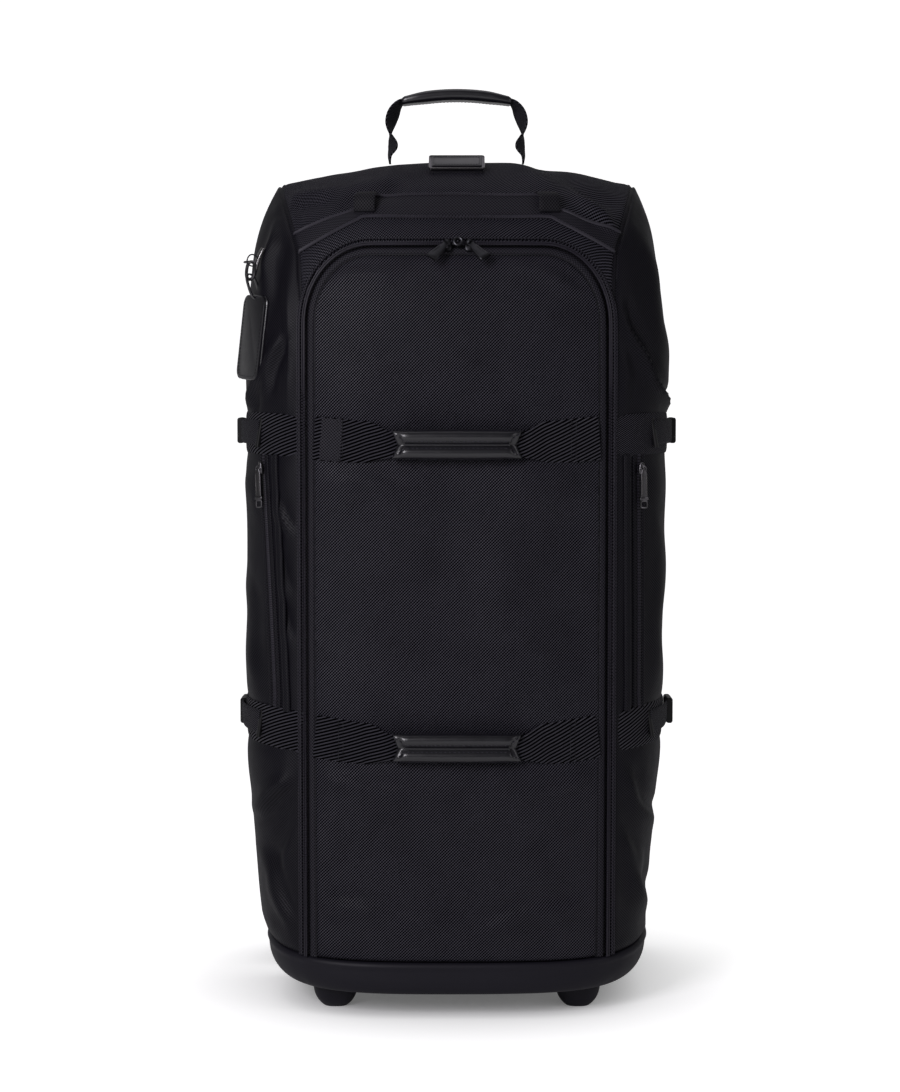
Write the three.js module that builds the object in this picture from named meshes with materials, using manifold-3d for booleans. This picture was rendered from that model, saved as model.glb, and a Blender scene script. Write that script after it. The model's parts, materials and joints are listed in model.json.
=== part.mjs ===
// Rolling duffel bag. Millimetres, +Z up, front facing -Y, floor at Z = 0.
import * as THREE from "three";
import Module from "manifold-3d";

const wasm = await Module();
wasm.setup();

// ---- driving dimensions ----
const HEIGHT = 846; // crest of the top above the floor
const HALF_WIDTH = 212;
const MID_Y = 8; // plane where front and back halves of the body meet
const FRONT = 170; // reach of the front face from MID_Y
const BACK = 160; // reach of the back face from MID_Y
const FLOOR_GAP = 24; // underside of the boot above the floor
const SHOULDER = 620; // above this height the body closes towards its crest
const CROWN = 24; // fall of the top from the middle to its side seams
const WIDEST = { z: 633, close: 267, power: 2.9 }; // the sides close over this height above z
const TAPER = { z: 380, share: 0.122 }; // narrowing of the sides below z
const SIDE_ROUND = { z: 51, drop: 22 }; // rounding of the foot at the sides
const FACE_ROUND = { z: 40, drop: 7 }; // and at the front and the back
const POWER = { front: 3.4, back: 9, frontTop: 2.5, backTop: 6 }; // higher is boxier
const SEAM_X = 178; // side seams of the top and the back
const SKIN = 3; // padded fabric panels
const TRAY = 4; // moulded boot
const SEAM_GAP = 1.2;

const ZIP_X = 144; // main zip, half the width of the door
const ARCH_Z = 751; // top run of the main zip
const CORNER_W = 60;
const CORNER_H = 72;
const STRAP_Z = { lower: 271, upper: 564 };
const STRAP_RISE = { lower: 16, upper: 9 }; // rise of the straps from the middle to the sides
const STRAP_HALF = 21;
const WHEEL_R = 40;
const WHEEL = { x: 151, y: 139.65 };
const TUBE_X = 62;
const TUBE_Y = 130;
const HANDLE_BASE = 68;
const FRONT_FOOT = { x: 121, y: -96 };
const KICK = { width: 190, height: 58, thickness: 5 };

// ---- finishes ----
const BALLISTIC = { color: 0x1b1b1f, roughness: 0.85, metalness: 0 };
const SIDE_CLOTH = { color: 0x161619, roughness: 0.8, metalness: 0 };
const WEBBING = { color: 0x1d1d20, roughness: 0.75, metalness: 0 };
const LEATHER = { color: 0x141415, roughness: 0.38, metalness: 0 };
const PLASTIC = { color: 0x121213, roughness: 0.5, metalness: 0 };
const BOOT = { color: 0x19191c, roughness: 0.6, metalness: 0 };
const GUNMETAL = { color: 0x4a4a4e, roughness: 0.3, metalness: 1 };
const TUBE_METAL = { color: 0x8a8c90, roughness: 0.35, metalness: 1 };
const STEEL = { color: 0x9a9a9a, roughness: 0.3, metalness: 1 };
const RUBBER = { color: 0x101010, roughness: 0.9, metalness: 0 };

const SIDES = [
  { name: "left", sign: -1 },
  { name: "right", sign: 1 },
];
const { abs, cos, max, min, PI, sin, sqrt } = Math;
const v3 = (x, y, z) => new THREE.Vector3(x, y, z);
const clamp = (v, low, high) => max(low, min(high, v));
const lerp = (a, b, t) => a + (b - a) * t;
const spread = (a, b, n) => Array.from({ length: n + 1 }, (_, i) => lerp(a, b, i / n));
const smooth = (low, high, v) => {
  const t = clamp((v - low) / (high - low), 0, 1);
  return t * t * (3 - 2 * t);
};

// ---- the outer form of the stuffed body ----
function rounding(z, { z: top, drop }) {
  return drop * (1 - sqrt(1 - clamp((top - z) / (top - FLOOR_GAP), 0, 1) ** 2));
}

function halfWidth(z) {
  const share = clamp((z - WIDEST.z) / WIDEST.close, 0, 1);
  const taper = 1 - TAPER.share * clamp((TAPER.z - z) / TAPER.z, 0, 1) ** 2;
  return HALF_WIDTH * (1 - share ** WIDEST.power) ** (1 / WIDEST.power) * taper - rounding(z, SIDE_ROUND);
}

function reachY(z, length, power) {
  const share = clamp((z - SHOULDER) / (HEIGHT - SHOULDER), 0, 1);
  return length * (1 - share ** power) ** (1 / power) - rounding(z, FACE_ROUND);
}

function inside(x, y, z) {
  const level = z + CROWN * (x / SEAM_X) ** 2 * smooth(400, 700, z);
  if (level >= HEIGHT || z <= FLOOR_GAP) return false;
  const front = y < MID_Y;
  const power = front ? POWER.front : POWER.back;
  const depth = front ? reachY(level, FRONT, POWER.frontTop) : reachY(level, BACK, POWER.backTop);
  return (abs(x) / halfWidth(z)) ** power + (abs(y - MID_Y) / depth) ** power < 1;
}

// The point where a ray from inside the body leaves it.
function surface(origin, direction) {
  const way = direction.clone().normalize();
  let low = 0;
  let high = 600;
  const at = (t) => origin.clone().addScaledVector(way, t);
  for (let i = 0; i < 40; i++) {
    const middle = (low + high) / 2;
    const p = at(middle);
    if (inside(p.x, p.y, p.z)) low = middle;
    else high = middle;
  }
  return at(low);
}

const front = (x, z) => surface(v3(x, MID_Y, z), v3(0, -1, 0));
const back = (x, z) => surface(v3(x, MID_Y, z), v3(0, 1, 0));
const around = (z, angle) => surface(v3(0, MID_Y, z), v3(cos(angle), sin(angle), 0));
const over = (x, angle) => surface(v3(x, MID_Y, SHOULDER), v3(0, -cos(angle), sin(angle)));
const flank = (side, y, z) => surface(v3(0, y, z), v3(side, 0, 0));

// The angle of over() whose point lies at height z, on the front or the back slope.
function overAngle(x, z, onBack = false) {
  let low = onBack ? PI / 2 : 0;
  let high = onBack ? PI * 0.8 : PI / 2;
  for (let i = 0; i < 30; i++) {
    const middle = (low + high) / 2;
    if (over(x, middle).z > z === onBack) low = middle;
    else high = middle;
  }
  return (low + high) / 2;
}

// Directions away from a core box, shared by every panel so that neighbours never cross.
const CORE = new THREE.Box3(v3(-130, MID_Y - 90, 110), v3(130, MID_Y + 100, 700));
const outward = (p) => p.clone().sub(CORE.clampPoint(p, v3(0, 0, 0))).normalize();
const lifted = (p, distance) => p.clone().addScaledVector(outward(p), distance);

// ---- solids ----
function solid(points, faces) {
  const volume = faces.reduce((sum, [a, b, c]) => {
    return sum + points[a].dot(points[b].clone().cross(points[c]));
  }, 0);
  const facing = volume > 0 ? faces : faces.map(([a, b, c]) => [a, c, b]);
  const geometry = new THREE.BufferGeometry();
  const coordinates = points.flatMap((p) => p.toArray());
  geometry.setAttribute("position", new THREE.Float32BufferAttribute(coordinates, 3));
  geometry.setIndex(facing.flat());
  geometry.computeVertexNormals();
  return geometry;
}

// A skin over a grid of surface points, between two distances from the surface.
// wrap joins the last column to the first; centre closes the first row like a bowl.
function shell(grid, low, high, wrap = false, centre = null) {
  const rows = grid.length;
  const columns = grid[0].length;
  const count = rows * columns;
  const flat = grid.flat();
  const points = [...flat.map((p) => lifted(p, high)), ...flat.map((p) => lifted(p, low))];
  const faces = [];
  const quad = (a, b, c, d) => faces.push([a, b, c], [a, c, d]);
  const last = wrap ? columns : columns - 1;
  for (let c = 0; c < last; c++) {
    const d = (c + 1) % columns;
    for (let r = 0; r + 1 < rows; r++) {
      const [p, q, s, t] = [r * columns + c, r * columns + d, (r + 1) * columns + d, (r + 1) * columns + c];
      quad(p, q, s, t);
      quad(p + count, t + count, s + count, q + count);
    }
    const top = (rows - 1) * columns;
    quad(top + c, top + d, top + d + count, top + c + count);
    if (!centre) quad(d, c, c + count, d + count);
  }
  if (centre) {
    points.push(lifted(centre, high), lifted(centre, low));
    for (let c = 0; c < columns; c++) {
      const d = (c + 1) % columns;
      faces.push([d, c, 2 * count], [c + count, d + count, 2 * count + 1]);
    }
  }
  if (!wrap) {
    for (let r = 0; r + 1 < rows; r++) {
      const [p, q] = [r * columns, (r + 1) * columns];
      const [s, t] = [p + columns - 1, q + columns - 1];
      quad(p, q, q + count, p + count);
      quad(t, s, s + count, t + count);
    }
  }
  return solid(points, faces);
}

// A body through a row of closed rings; with inner rings it is an open tube.
function loft(rings, innerRings = null) {
  const n = rings[0].length;
  const m = rings.length;
  const points = rings.flat();
  const faces = [];
  const quad = (a, b, c, d) => faces.push([a, b, c], [a, c, d]);
  const skin = (start, flip) => {
    for (let r = 0; r + 1 < m; r++) {
      for (let i = 0; i < n; i++) {
        const j = (i + 1) % n;
        const q = [r * n + i, r * n + j, (r + 1) * n + j, (r + 1) * n + i].map((k) => k + start);
        quad(...(flip ? q.reverse() : q));
      }
    }
  };
  skin(0, false);
  if (innerRings) {
    points.push(...innerRings.flat());
    const start = m * n;
    skin(start, true);
    for (let i = 0; i < n; i++) {
      const j = (i + 1) % n;
      const end = (m - 1) * n;
      quad(j, i, start + i, start + j);
      quad(end + i, end + j, start + end + j, start + end + i);
    }
    return solid(points, faces);
  }
  for (const [ring, flip] of [[0, true], [m - 1, false]]) {
    const middle = rings[ring].reduce((sum, p) => sum.add(p), v3(0, 0, 0)).divideScalar(n);
    points.push(middle);
    for (let i = 0; i < n; i++) {
      const [a, b] = [ring * n + i, ring * n + ((i + 1) % n)];
      faces.push(flip ? [b, a, points.length - 1] : [a, b, points.length - 1]);
    }
  }
  return solid(points, faces);
}

// Outline of a rounded rectangle, as [u, v] pairs round its centre.
function outline(width, height, radius, steps = 3) {
  const corners = [[1, 1], [-1, 1], [-1, -1], [1, -1]];
  return corners.flatMap(([su, sv], k) =>
    spread(k * PI / 2, (k + 1) * PI / 2, steps).map((a) => [
      su * (width / 2 - radius) + radius * cos(a),
      sv * (height / 2 - radius) + radius * sin(a),
    ]),
  );
}

// A ring of points in the plane through origin spanned by u and v.
const ringAt = (origin, u, v, pairs) =>
  pairs.map(([a, b]) => origin.clone().addScaledVector(u, a).addScaledVector(v, b));

const AXES = { x: [v3(0, 1, 0), v3(0, 0, 1), v3(1, 0, 0)], y: [v3(0, 0, 1), v3(1, 0, 0), v3(0, 1, 0)] };
AXES.z = [v3(1, 0, 0), v3(0, 1, 0), v3(0, 0, 1)];

// A bar along an axis with a rounded-rectangle section and eased ends.
function bar(axis, centre, width, height, length, radius, ease = 0.8, steps = 3) {
  const [u, v, w] = AXES[axis];
  const half = length / 2;
  const stations = [[-half, ease], [-half + ease, 0], [half - ease, 0], [half, ease]];
  return loft(stations.map(([t, inset]) => {
    const pairs = outline(width - 2 * inset, height - 2 * inset, max(0.2, radius - inset), steps);
    return ringAt(centre.clone().addScaledVector(w, t), u, v, pairs);
  }));
}

// A straight open tube along Z.
function tube(centre, outer, wall, z0, z1) {
  const make = (inset) => [z0, z1].map((z) => {
    const pairs = outline(outer[0] - 2 * inset, outer[1] - 2 * inset, 3.5 - inset);
    return ringAt(v3(centre.x, centre.y, z), AXES.z[0], AXES.z[1], pairs);
  });
  return loft(make(0), make(wall));
}

// A ring turned about an axis along X; profile is [radius, offset along X] pairs.
function turned(centre, profile, segments = 28) {
  const n = profile.length;
  const points = spread(0, 2 * PI * (segments - 1) / segments, segments - 1).flatMap((a) =>
    profile.map(([r, t]) => v3(centre.x + t, centre.y + r * cos(a), centre.z + r * sin(a))),
  );
  const faces = [];
  for (let s = 0; s < segments; s++) {
    const next = (s + 1) % segments;
    for (let i = 0; i < n; i++) {
      const j = (i + 1) % n;
      faces.push([s * n + i, s * n + j, next * n + j], [s * n + i, next * n + j, next * n + i]);
    }
  }
  return solid(points, faces);
}

function rod(centre, radius, length, segments = 28) {
  const u = AXES.x[0];
  const v = AXES.x[1];
  const circle = spread(0, 2 * PI * (segments - 1) / segments, segments - 1).map((a) => [cos(a), sin(a)]);
  const pairs = circle.map(([a, b]) => [a * radius, b * radius]);
  const ends = [-length / 2, length / 2].map((t) => centre.clone().add(v3(t, 0, 0)));
  return loft(ends.map((end) => ringAt(end, u, v, pairs)));
}

function toManifold(geometry) {
  return new wasm.Manifold(new wasm.Mesh({
    numProp: 3,
    vertProperties: new Float32Array(geometry.attributes.position.array),
    triVerts: new Uint32Array(geometry.index.array),
  }));
}

function fromManifold(body) {
  const result = body.getMesh();
  const made = new THREE.BufferGeometry();
  made.setAttribute("position", new THREE.Float32BufferAttribute(result.vertProperties, 3));
  made.setIndex(Array.from(result.triVerts));
  made.computeVertexNormals();
  return made;
}

function cut(geometry, ...cutters) {
  return fromManifold(cutters.reduce((body, c) => body.subtract(toManifold(c)), toManifold(geometry)));
}

const block = (x0, x1, y0, y1, z0, z1) =>
  bar("z", v3((x0 + x1) / 2, (y0 + y1) / 2, (z0 + z1) / 2), x1 - x0, y1 - y0, z1 - z0, 0.3, 0.05, 1);

const bag = new THREE.Group();
bag.name = "rolling_duffel_bag";

function add(name, geometry, finish) {
  const mesh = new THREE.Mesh(geometry, new THREE.MeshStandardMaterial(finish));
  mesh.name = name;
  bag.add(mesh);
}

// ---- seams shared by neighbouring panels ----
const bootSeam = (y) => 56 + 9 * smooth(-170, -60, y) + 52 * smooth(0, 130, y);

function arch(x) {
  const past = abs(x) - (ZIP_X - CORNER_W);
  if (past <= 0) return ARCH_Z;
  return ARCH_Z - CORNER_H * (1 - sqrt(max(0, 1 - (past / CORNER_W) ** 2)));
}

const ARCH_FOOT = ARCH_Z - CORNER_H;

// Seam between the side panel and the front half of the top.
function seamX(z) {
  if (z < ARCH_FOOT) return ZIP_X;
  if (z < 750) return lerp(ZIP_X, ZIP_X + 10, (z - ARCH_FOOT) / (750 - ARCH_FOOT));
  return lerp(ZIP_X + 10, SEAM_X, clamp((z - 750) / 66, 0, 1));
}

const REAR_ANGLE = 2.22; // where the top meets the back panel
const rearZ = over(SEAM_X, REAR_ANGLE).z;
const crestZ = over(SEAM_X, PI / 2).z;
const SEAM_LEVELS = [ARCH_FOOT, 697, 715, 733, 750, 765, 779, 791, 801, 809, 815, 819];
const FRONT_ANGLES = [...SEAM_LEVELS.map((z) => overAngle(seamX(z), z)), PI / 2];
const REAR_LEVELS = SEAM_LEVELS.filter((z) => z > rearZ + 3).reverse();
const REAR_ANGLES = [...REAR_LEVELS.map((z) => overAngle(SEAM_X, z, true)), REAR_ANGLE];
const HALF_GAP = SEAM_GAP / 2;

// Front door panel inside the arched zip.
const DOOR_COLUMNS = [-1, -0.985, -0.94, -0.86, -0.74, -0.58, -0.4, -0.2, 0];
const ACROSS = [...DOOR_COLUMNS, ...DOOR_COLUMNS.slice(0, -1).reverse().map((v) => -v)];
const DOOR_ROWS = [0, 0.05, 0.15, 0.28, 0.42, 0.56, 0.68, 0.78, 0.86, 0.92, 0.96, 1];
function doorBottom(x) {
  return bootSeam(front(x, 60).y) + HALF_GAP;
}
add("front_door", shell(DOOR_ROWS.map((t) => ACROSS.map((s) => {
  const x = s * (ZIP_X - HALF_GAP);
  const top = arch(x * ZIP_X / (ZIP_X - HALF_GAP)) - HALF_GAP;
  return front(x, lerp(doorBottom(x), top, t));
})), -SKIN, 0), BALLISTIC);

// Top panel from the door's arch over the crest to the back seam.
const topAngles = [...FRONT_ANGLES, ...REAR_ANGLES];
const topGrid = topAngles.map((angle, row) => ACROSS.map((s) => {
  const inFront = row < SEAM_LEVELS.length;
  const wide = (inFront ? seamX(SEAM_LEVELS[row]) : SEAM_X) - HALF_GAP;
  const archX = s * ZIP_X;
  const start = overAngle(archX, arch(archX) + HALF_GAP);
  const share = clamp((angle - topAngles[0]) / (PI / 2 - topAngles[0]), 0, 1);
  const here = angle < PI / 2 ? lerp(start, PI / 2, share) : angle;
  return over(s * wide, here - (row === topAngles.length - 1 ? HALF_GAP / 220 : 0));
}));
const bezelHole = block(-93, 93, TUBE_Y - 21, TUBE_Y + 15, 700, 900);
add("top_panel", cut(shell(topGrid, -SKIN, 0), bezelHole), BALLISTIC);

// Side panels from the front seam round to the back seam.
const LOWER_LEVELS = [300, 360, 430, 500, 560, 600, 640];
const TOP_LEVELS = [...SEAM_LEVELS, crestZ - 0.8];
const ROUND = [0, 0.04, 0.1, 0.18, 0.28, 0.38, 0.46, 0.54, 0.61, 0.68, 0.75, 0.82, 0.89, 0.95, 0.98, 1];
for (const { name, sign: side } of SIDES) {
  const rows = [];
  const edge = (z) => front(seamX(z) + HALF_GAP, z).y;
  const rear = (z) => back(SEAM_X + HALF_GAP, z).y;
  for (const t of [0, 0.12, 0.35, 0.7]) {
    rows.push(ROUND.map((k) => {
      let z = 90;
      for (let i = 0; i < 6; i++) z = lerp(bootSeam(lerp(edge(z), rear(z), k)) + 2 * HALF_GAP, 300, t);
      return flank(side, lerp(edge(z), rear(z), k), z);
    }));
  }
  for (const z of [...LOWER_LEVELS, ...TOP_LEVELS]) {
    rows.push(ROUND.map((k) => flank(side, lerp(edge(z), rear(z), k), z)));
  }
  add(`${name}_side_panel`, shell(rows, -SKIN, 0), SIDE_CLOTH);
}

// Back panel above the boot.
const backTop = (x) => over(x, REAR_ANGLE + HALF_GAP / 220).z;
add("back_panel", shell([0, 0.12, 0.3, 0.5, 0.7, 0.84, 0.93, 1].map((t) => spread(-1, 1, 10).map((s) => {
  const x = s * (SEAM_X - 2 * HALF_GAP);
  return back(x, lerp(bootSeam(back(x, 120).y) + HALF_GAP, backTop(x), t));
})), -SKIN, 0), SIDE_CLOTH);

// Moulded boot: flat underside, rounded foot and walls up to the seam.
const CORNER_ANGLES = [5, 10, 15, 20, 26, 32, 37, 42, 50, 65].map((a) => a * PI / 180);
const ROUND_ANGLES = [
  ...spread(-PI, 0, 26),
  ...CORNER_ANGLES,
  PI / 2,
  ...CORNER_ANGLES.map((a) => PI - a).reverse(),
];
function bootRing(t) {
  return ROUND_ANGLES.map((angle) => {
    let p = around(60, angle);
    for (let i = 0; i < 5; i++) {
      p = around(lerp(FLOOR_GAP + 0.02, bootSeam(p.y) - HALF_GAP, t), angle);
    }
    return p;
  });
}
const sole = bootRing(0);
const bootRings = [
  sole.map((p) => v3(p.x * 0.55, MID_Y + (p.y - MID_Y) * 0.55, p.z)),
  ...[0, 0.06, 0.2, 0.45, 0.75, 1].map(bootRing),
];
const housingCuts = SIDES.map(({ sign: side }) => {
  return block(min(side * 110, side * 230), max(side * 110, side * 230), 66, 200, 0, 98);
});
const bootShell = shell(bootRings, -TRAY, 0, true, v3(0, MID_Y, FLOOR_GAP + 0.02));
add("bottom_boot", cut(bootShell, ...housingCuts), BOOT);

// ---- straps, following the body just clear of the panels ----
const STRAP_LOW = 1.1;
const STRAP_HIGH = 2.9;
for (const level of ["upper", "lower"]) {
  const strapZ = (x) => STRAP_Z[level] + STRAP_RISE[level] * smooth(70, 210, abs(x)) * 0.9;
  const edges = [-STRAP_HALF, 0, STRAP_HALF];
  const limit = ZIP_X - 8;
  const door = edges.map((dz) => spread(-limit, limit, 24).map((x) => front(x, strapZ(x) + dz)));
  add(`${level}_door_strap`, shell(door, STRAP_LOW, STRAP_HIGH), WEBBING);
  for (const { name, sign: side } of SIDES) {
    const strap = edges.map((dz) => spread(0, 1, 16).map((k) => {
      const z = STRAP_Z[level] + STRAP_RISE[level] * smooth(0, 0.35, k) + dz;
      const y = lerp(front(ZIP_X + 8, z).y, 96, k ** 1.25);
      return flank(side, y, z);
    }));
    add(`${level}_${name}_side_strap`, shell(strap, STRAP_LOW, STRAP_HIGH), WEBBING);
  }
}

// Door grips: two rolled leather lobes on a flat back, notched at the ends.
const GRIP_HALF = 63;
for (const level of ["upper", "lower"]) {
  const z = STRAP_Z[level] - 2;
  const y = front(0, z).y - STRAP_HIGH - 1;
  const shape = (fat) => [
    [0, -12.5], [-6 * fat, -13.5], [-10 * fat, -10.5], [-11 * fat, -6.5], [-8.5 * fat, -2.2],
    [-7.5 * fat, 0],
    [-8.5 * fat, 2.2], [-11 * fat, 6.5], [-10 * fat, 10.5], [-6 * fat, 13.5], [0, 12.5],
  ];
  const stations = [[-1, 0.6], [-0.94, 0.85], [-0.8, 1], [0, 1.05], [0.8, 1], [0.94, 0.85], [1, 0.6]];
  const rings = stations.map(([s, fat]) => shape(fat).map(([dy, dz]) => {
    const bow = 2.2 * (1 - s * s);
    const notch = abs(s) === 1 ? 5 * (1 - min(1, abs(dz) / 9)) : 0;
    return v3(s * (GRIP_HALF - notch), y + dy - bow * (dy < 0), z + dz);
  }));
  add(`${level}_grip`, loft(rings), LEATHER);
}

// Yoke: one webbing band across the top of the front.
const yokeZ = (x) => 791 - 30 * smooth(96, 160, abs(x)) * 0.97;
const yokeHalf = (x) => lerp(17, 13.5, smooth(96, 150, abs(x)));
const yoke = [-1, -0.33, 0.33, 1].map((t) => spread(-1, 1, 28).map((s) => {
  const reach = 161 + 6 * t * 0.9;
  const x = s * reach;
  return over(x, overAngle(x, yokeZ(x) + t * yokeHalf(x) * 0.78));
}));
add("yoke_webbing", shell(yoke, 1.3, 3.1), WEBBING);

// Badge: a bevelled plate on the front of the crest.
const BADGE = { width: 56, height: 24, tilt: 0.66, y: -69.5, z: 837.6 };
const badgeUp = v3(0, cos(BADGE.tilt), sin(BADGE.tilt));
const badgeOut = v3(0, -sin(BADGE.tilt), cos(BADGE.tilt));
add("badge_plate", loft([[0, 0], [3, 0], [4, 1.2]].map(([lift, inset]) => {
  const centre = v3(0, BADGE.y, BADGE.z).addScaledVector(badgeOut, lift);
  const pairs = outline(BADGE.width - 2 * inset, BADGE.height - 2 * inset, 2.5, 3);
  return ringAt(centre, AXES.x[2], badgeUp, pairs);
})), GUNMETAL);

// ---- zip sliders and pulls ----
// A local frame on the body: out of the surface, up along it and across.
function seat(p, upward, lift) {
  const out = outward(p);
  const up = upward.clone().addScaledVector(out, -upward.dot(out)).normalize();
  return { origin: lifted(p, lift), out, up, across: up.clone().cross(out) };
}

function plate({ origin, out, up, across }, width, length, thickness, below, turn) {
  const down = up.clone().multiplyScalar(-cos(turn)).addScaledVector(across, sin(turn));
  const side = across.clone().multiplyScalar(cos(turn)).addScaledVector(up, sin(turn));
  const centre = origin.clone().addScaledVector(down, below + length / 2);
  const ends = [[0, 0.5], [0.5, 0], [thickness - 0.5, 0], [thickness, 0.5]];
  return loft(ends.map(([lift, inset]) => {
    const pairs = outline(width - 2 * inset, length - 2 * inset, width * 0.3, 3);
    return ringAt(centre.clone().addScaledVector(out, lift), side, down, pairs);
  }));
}

const PULL_LIFT = 4.2; // back of a pull above the back of its slider
const MAIN_SLIDERS = [
  { name: "left", x: -9.5, turn: -0.66 },
  { name: "right", x: 12, turn: 0.66 },
];
for (const { name, x, turn } of MAIN_SLIDERS) {
  const place = seat(front(x, ARCH_Z), v3(0, 0, 1), 2.4);
  const sliderBody = { ...place, origin: place.origin.clone().addScaledVector(place.up, 6) };
  add(`${name}_main_slider`, plate(sliderBody, 9, 12, 3.4, 0, 0), PLASTIC);
  const pull = { ...place, origin: place.origin.clone().addScaledVector(place.out, PULL_LIFT) };
  add(`${name}_main_pull`, plate(pull, 8.5, 30, 2.4, -1.2, turn), PLASTIC);
}

// Pocket zips beside the door; each runs between two heights at its own distances out.
const POCKETS = [
  { name: "left", sign: -1, top: 190, bottom: 178 },
  { name: "right", sign: 1, top: 178, bottom: 180 },
];
const POCKET_Z = { top: 538, bottom: 310 };
const POCKET_LIFT = 1.7; // back of a pocket slider above the cloth at the top of its run
for (const { name, sign: side, top, bottom } of POCKETS) {
  const start = front(side * top, POCKET_Z.top);
  const run = start.clone().sub(front(side * bottom, POCKET_Z.bottom)).normalize();
  const place = seat(start, run, POCKET_LIFT);
  const sliderBody = { ...place, origin: place.origin.clone().addScaledVector(place.up, 6) };
  add(`${name}_pocket_slider`, plate(sliderBody, 8.5, 12, 3.4, 0, 0), GUNMETAL);
  const pull = { ...place, origin: place.origin.clone().addScaledVector(place.out, PULL_LIFT) };
  add(`${name}_pocket_pull`, plate(pull, 7.5, 42, 2.4, -1.2, 0), GUNMETAL);
}

// ---- top carry handle ----
// Each leg swings on a tab sewn to the top; its path is given above the foot of the tab,
// with the turn of the webbing about its own length.
const HANDLE_Y = MID_Y;
const handleFoot = over(HANDLE_BASE, PI / 2).z + 1.2;
const handlePath = [
  [0, 8, 0], [-3, 17, -0.42], [-1.4, 25, -0.22], [0, 32, 0.1],
  [-0.6, 41, 0.42], [-3.6, 50.5, 0.42], [-8, 59, 0.2], [-10.8, 62.3, 0],
].map(([dx, rise, twist]) => [dx, handleFoot + rise, twist]);
for (const { name, sign: side } of SIDES) {
  const centre = v3(side * (HANDLE_BASE + 4.6), HANDLE_Y, handleFoot + 9.6);
  add(`${name}_handle_tab`, bar("z", centre, 2.4, 25, 18, 0.8, 0.3), WEBBING);
}
// Each station: position, width direction and thickness direction in the swept webbing.
const legStations = handlePath.map(([dx, z, twist], i) => {
  const next = handlePath[min(i + 1, handlePath.length - 1)];
  const last = handlePath[max(i - 1, 0)];
  const along = v3(next[0] - last[0], 0, next[1] - last[1]).normalize();
  const flat = v3(along.z, 0, -along.x);
  const wide = v3(0, cos(twist), 0).addScaledVector(flat, sin(twist));
  return { at: v3(HANDLE_BASE + dx, HANDLE_Y, z), wide, thin: along.clone().cross(wide) };
});
const handleTop = handleFoot + 63;
const TOP_GRIP_HALF = HANDLE_BASE - 12;
const GRIP_RISE = 6.5;
const gripArch = (x) => handleTop + GRIP_RISE * (1 - (x / TOP_GRIP_HALF) ** 2);
const acrossTop = [53, 36, 18, 0, -18, -36, -53].map((x) => {
  return { at: v3(x, HANDLE_Y, gripArch(x)), wide: v3(0, 1, 0), thin: v3(0, 0, 1) };
});
const mirrored = legStations.map(({ at, wide, thin }) => ({
  at: v3(-at.x, at.y, at.z),
  wide: v3(-wide.x, wide.y, wide.z),
  thin: v3(thin.x, -thin.y, -thin.z),
})).reverse();
const webbingSection = outline(24, 2.4, 0.8, 1);
const sweep = [...legStations, ...acrossTop, ...mirrored];
// Keep the section turning the same way from station to station.
let previous = null;
const sweptRings = sweep.map(({ at, wide, thin }) => {
  if (previous && previous.dot(thin) < 0) thin = thin.clone().negate();
  previous = thin;
  return ringAt(at, wide, thin, webbingSection);
});
add("top_handle_webbing", loft(sweptRings), WEBBING);

const gripStations = [-1, -0.89, -0.64, -0.32, 0, 0.32, 0.64, 0.89, 1].map((s) => s * TOP_GRIP_HALF);
const gripRings = (width, height, radius, endShare = 1) => gripStations.map((x) => {
  const ease = abs(x) === TOP_GRIP_HALF ? endShare : 1;
  const pairs = outline(width * ease, height * ease, radius * ease, 3);
  return ringAt(v3(x, HANDLE_Y, gripArch(x)), v3(0, 1, 0), v3(0, 0, 1), pairs);
});
add("top_handle_grip", loft(gripRings(31, 11, 5, 0.82), gripRings(25.4, 4, 0.9)), LEATHER);

// ---- luggage tag on the left front corner ----
const tagOut = v3(-0.857, -0.514, 0).normalize();
const tagAcross = v3(0.514, -0.857, 0).normalize();
const TAG = { width: 47, height: 84, thickness: 4.4, top: 708 };
const tagSeat = v3(-203.5, -93.2, 0);
const tagShape = outline(TAG.width, TAG.height, 9, 4);
add("luggage_tag", loft([[0, 0.6], [0.8, 0], [3.6, 0], [TAG.thickness, 0.6]].map(([lift, inset]) => {
  const centre = tagSeat.clone().addScaledVector(tagOut, lift).setZ(TAG.top - TAG.height / 2);
  const pairs = tagShape.map(([a, b]) => [a * (1 - inset / 25), b * (1 - inset / 42)]);
  return ringAt(centre, tagAcross, AXES.z[2], pairs);
})), LEATHER);
const loopCentre = tagSeat.clone().addScaledVector(tagOut, TAG.thickness / 2).setZ(TAG.top + 18);
const loopRings = (width, height, radius) => [-2.5, 2.5].map((t) => {
  const centre = loopCentre.clone().addScaledVector(tagAcross, t);
  return ringAt(centre, tagOut, AXES.z[2], outline(width, height, radius, 5));
});
add("tag_loop", loft(loopRings(8, 35, 3.9), loopRings(5, 32, 2.4)), LEATHER);

// A staple on the side panel; the loop hangs on its crossbar.
const barCentre = loopCentre.clone().setZ(loopCentre.z + 14);
const stapleBends = [[-7, -9, 1, 0], [-7, 0, 1, -1], [7, 0, -1, -1], [7, -9, -1, 0]];
add("tag_staple", loft(stapleBends.map(([t, out, wideAcross, wideOut]) => {
  const centre = barCentre.clone().addScaledVector(tagAcross, t).addScaledVector(tagOut, out);
  const wide = v3(0, 0, 0).addScaledVector(tagAcross, wideAcross).addScaledVector(tagOut, wideOut);
  return ringAt(centre, wide, AXES.z[2], outline(2.4, 2.4, 0.8, 1));
})), GUNMETAL);

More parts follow.
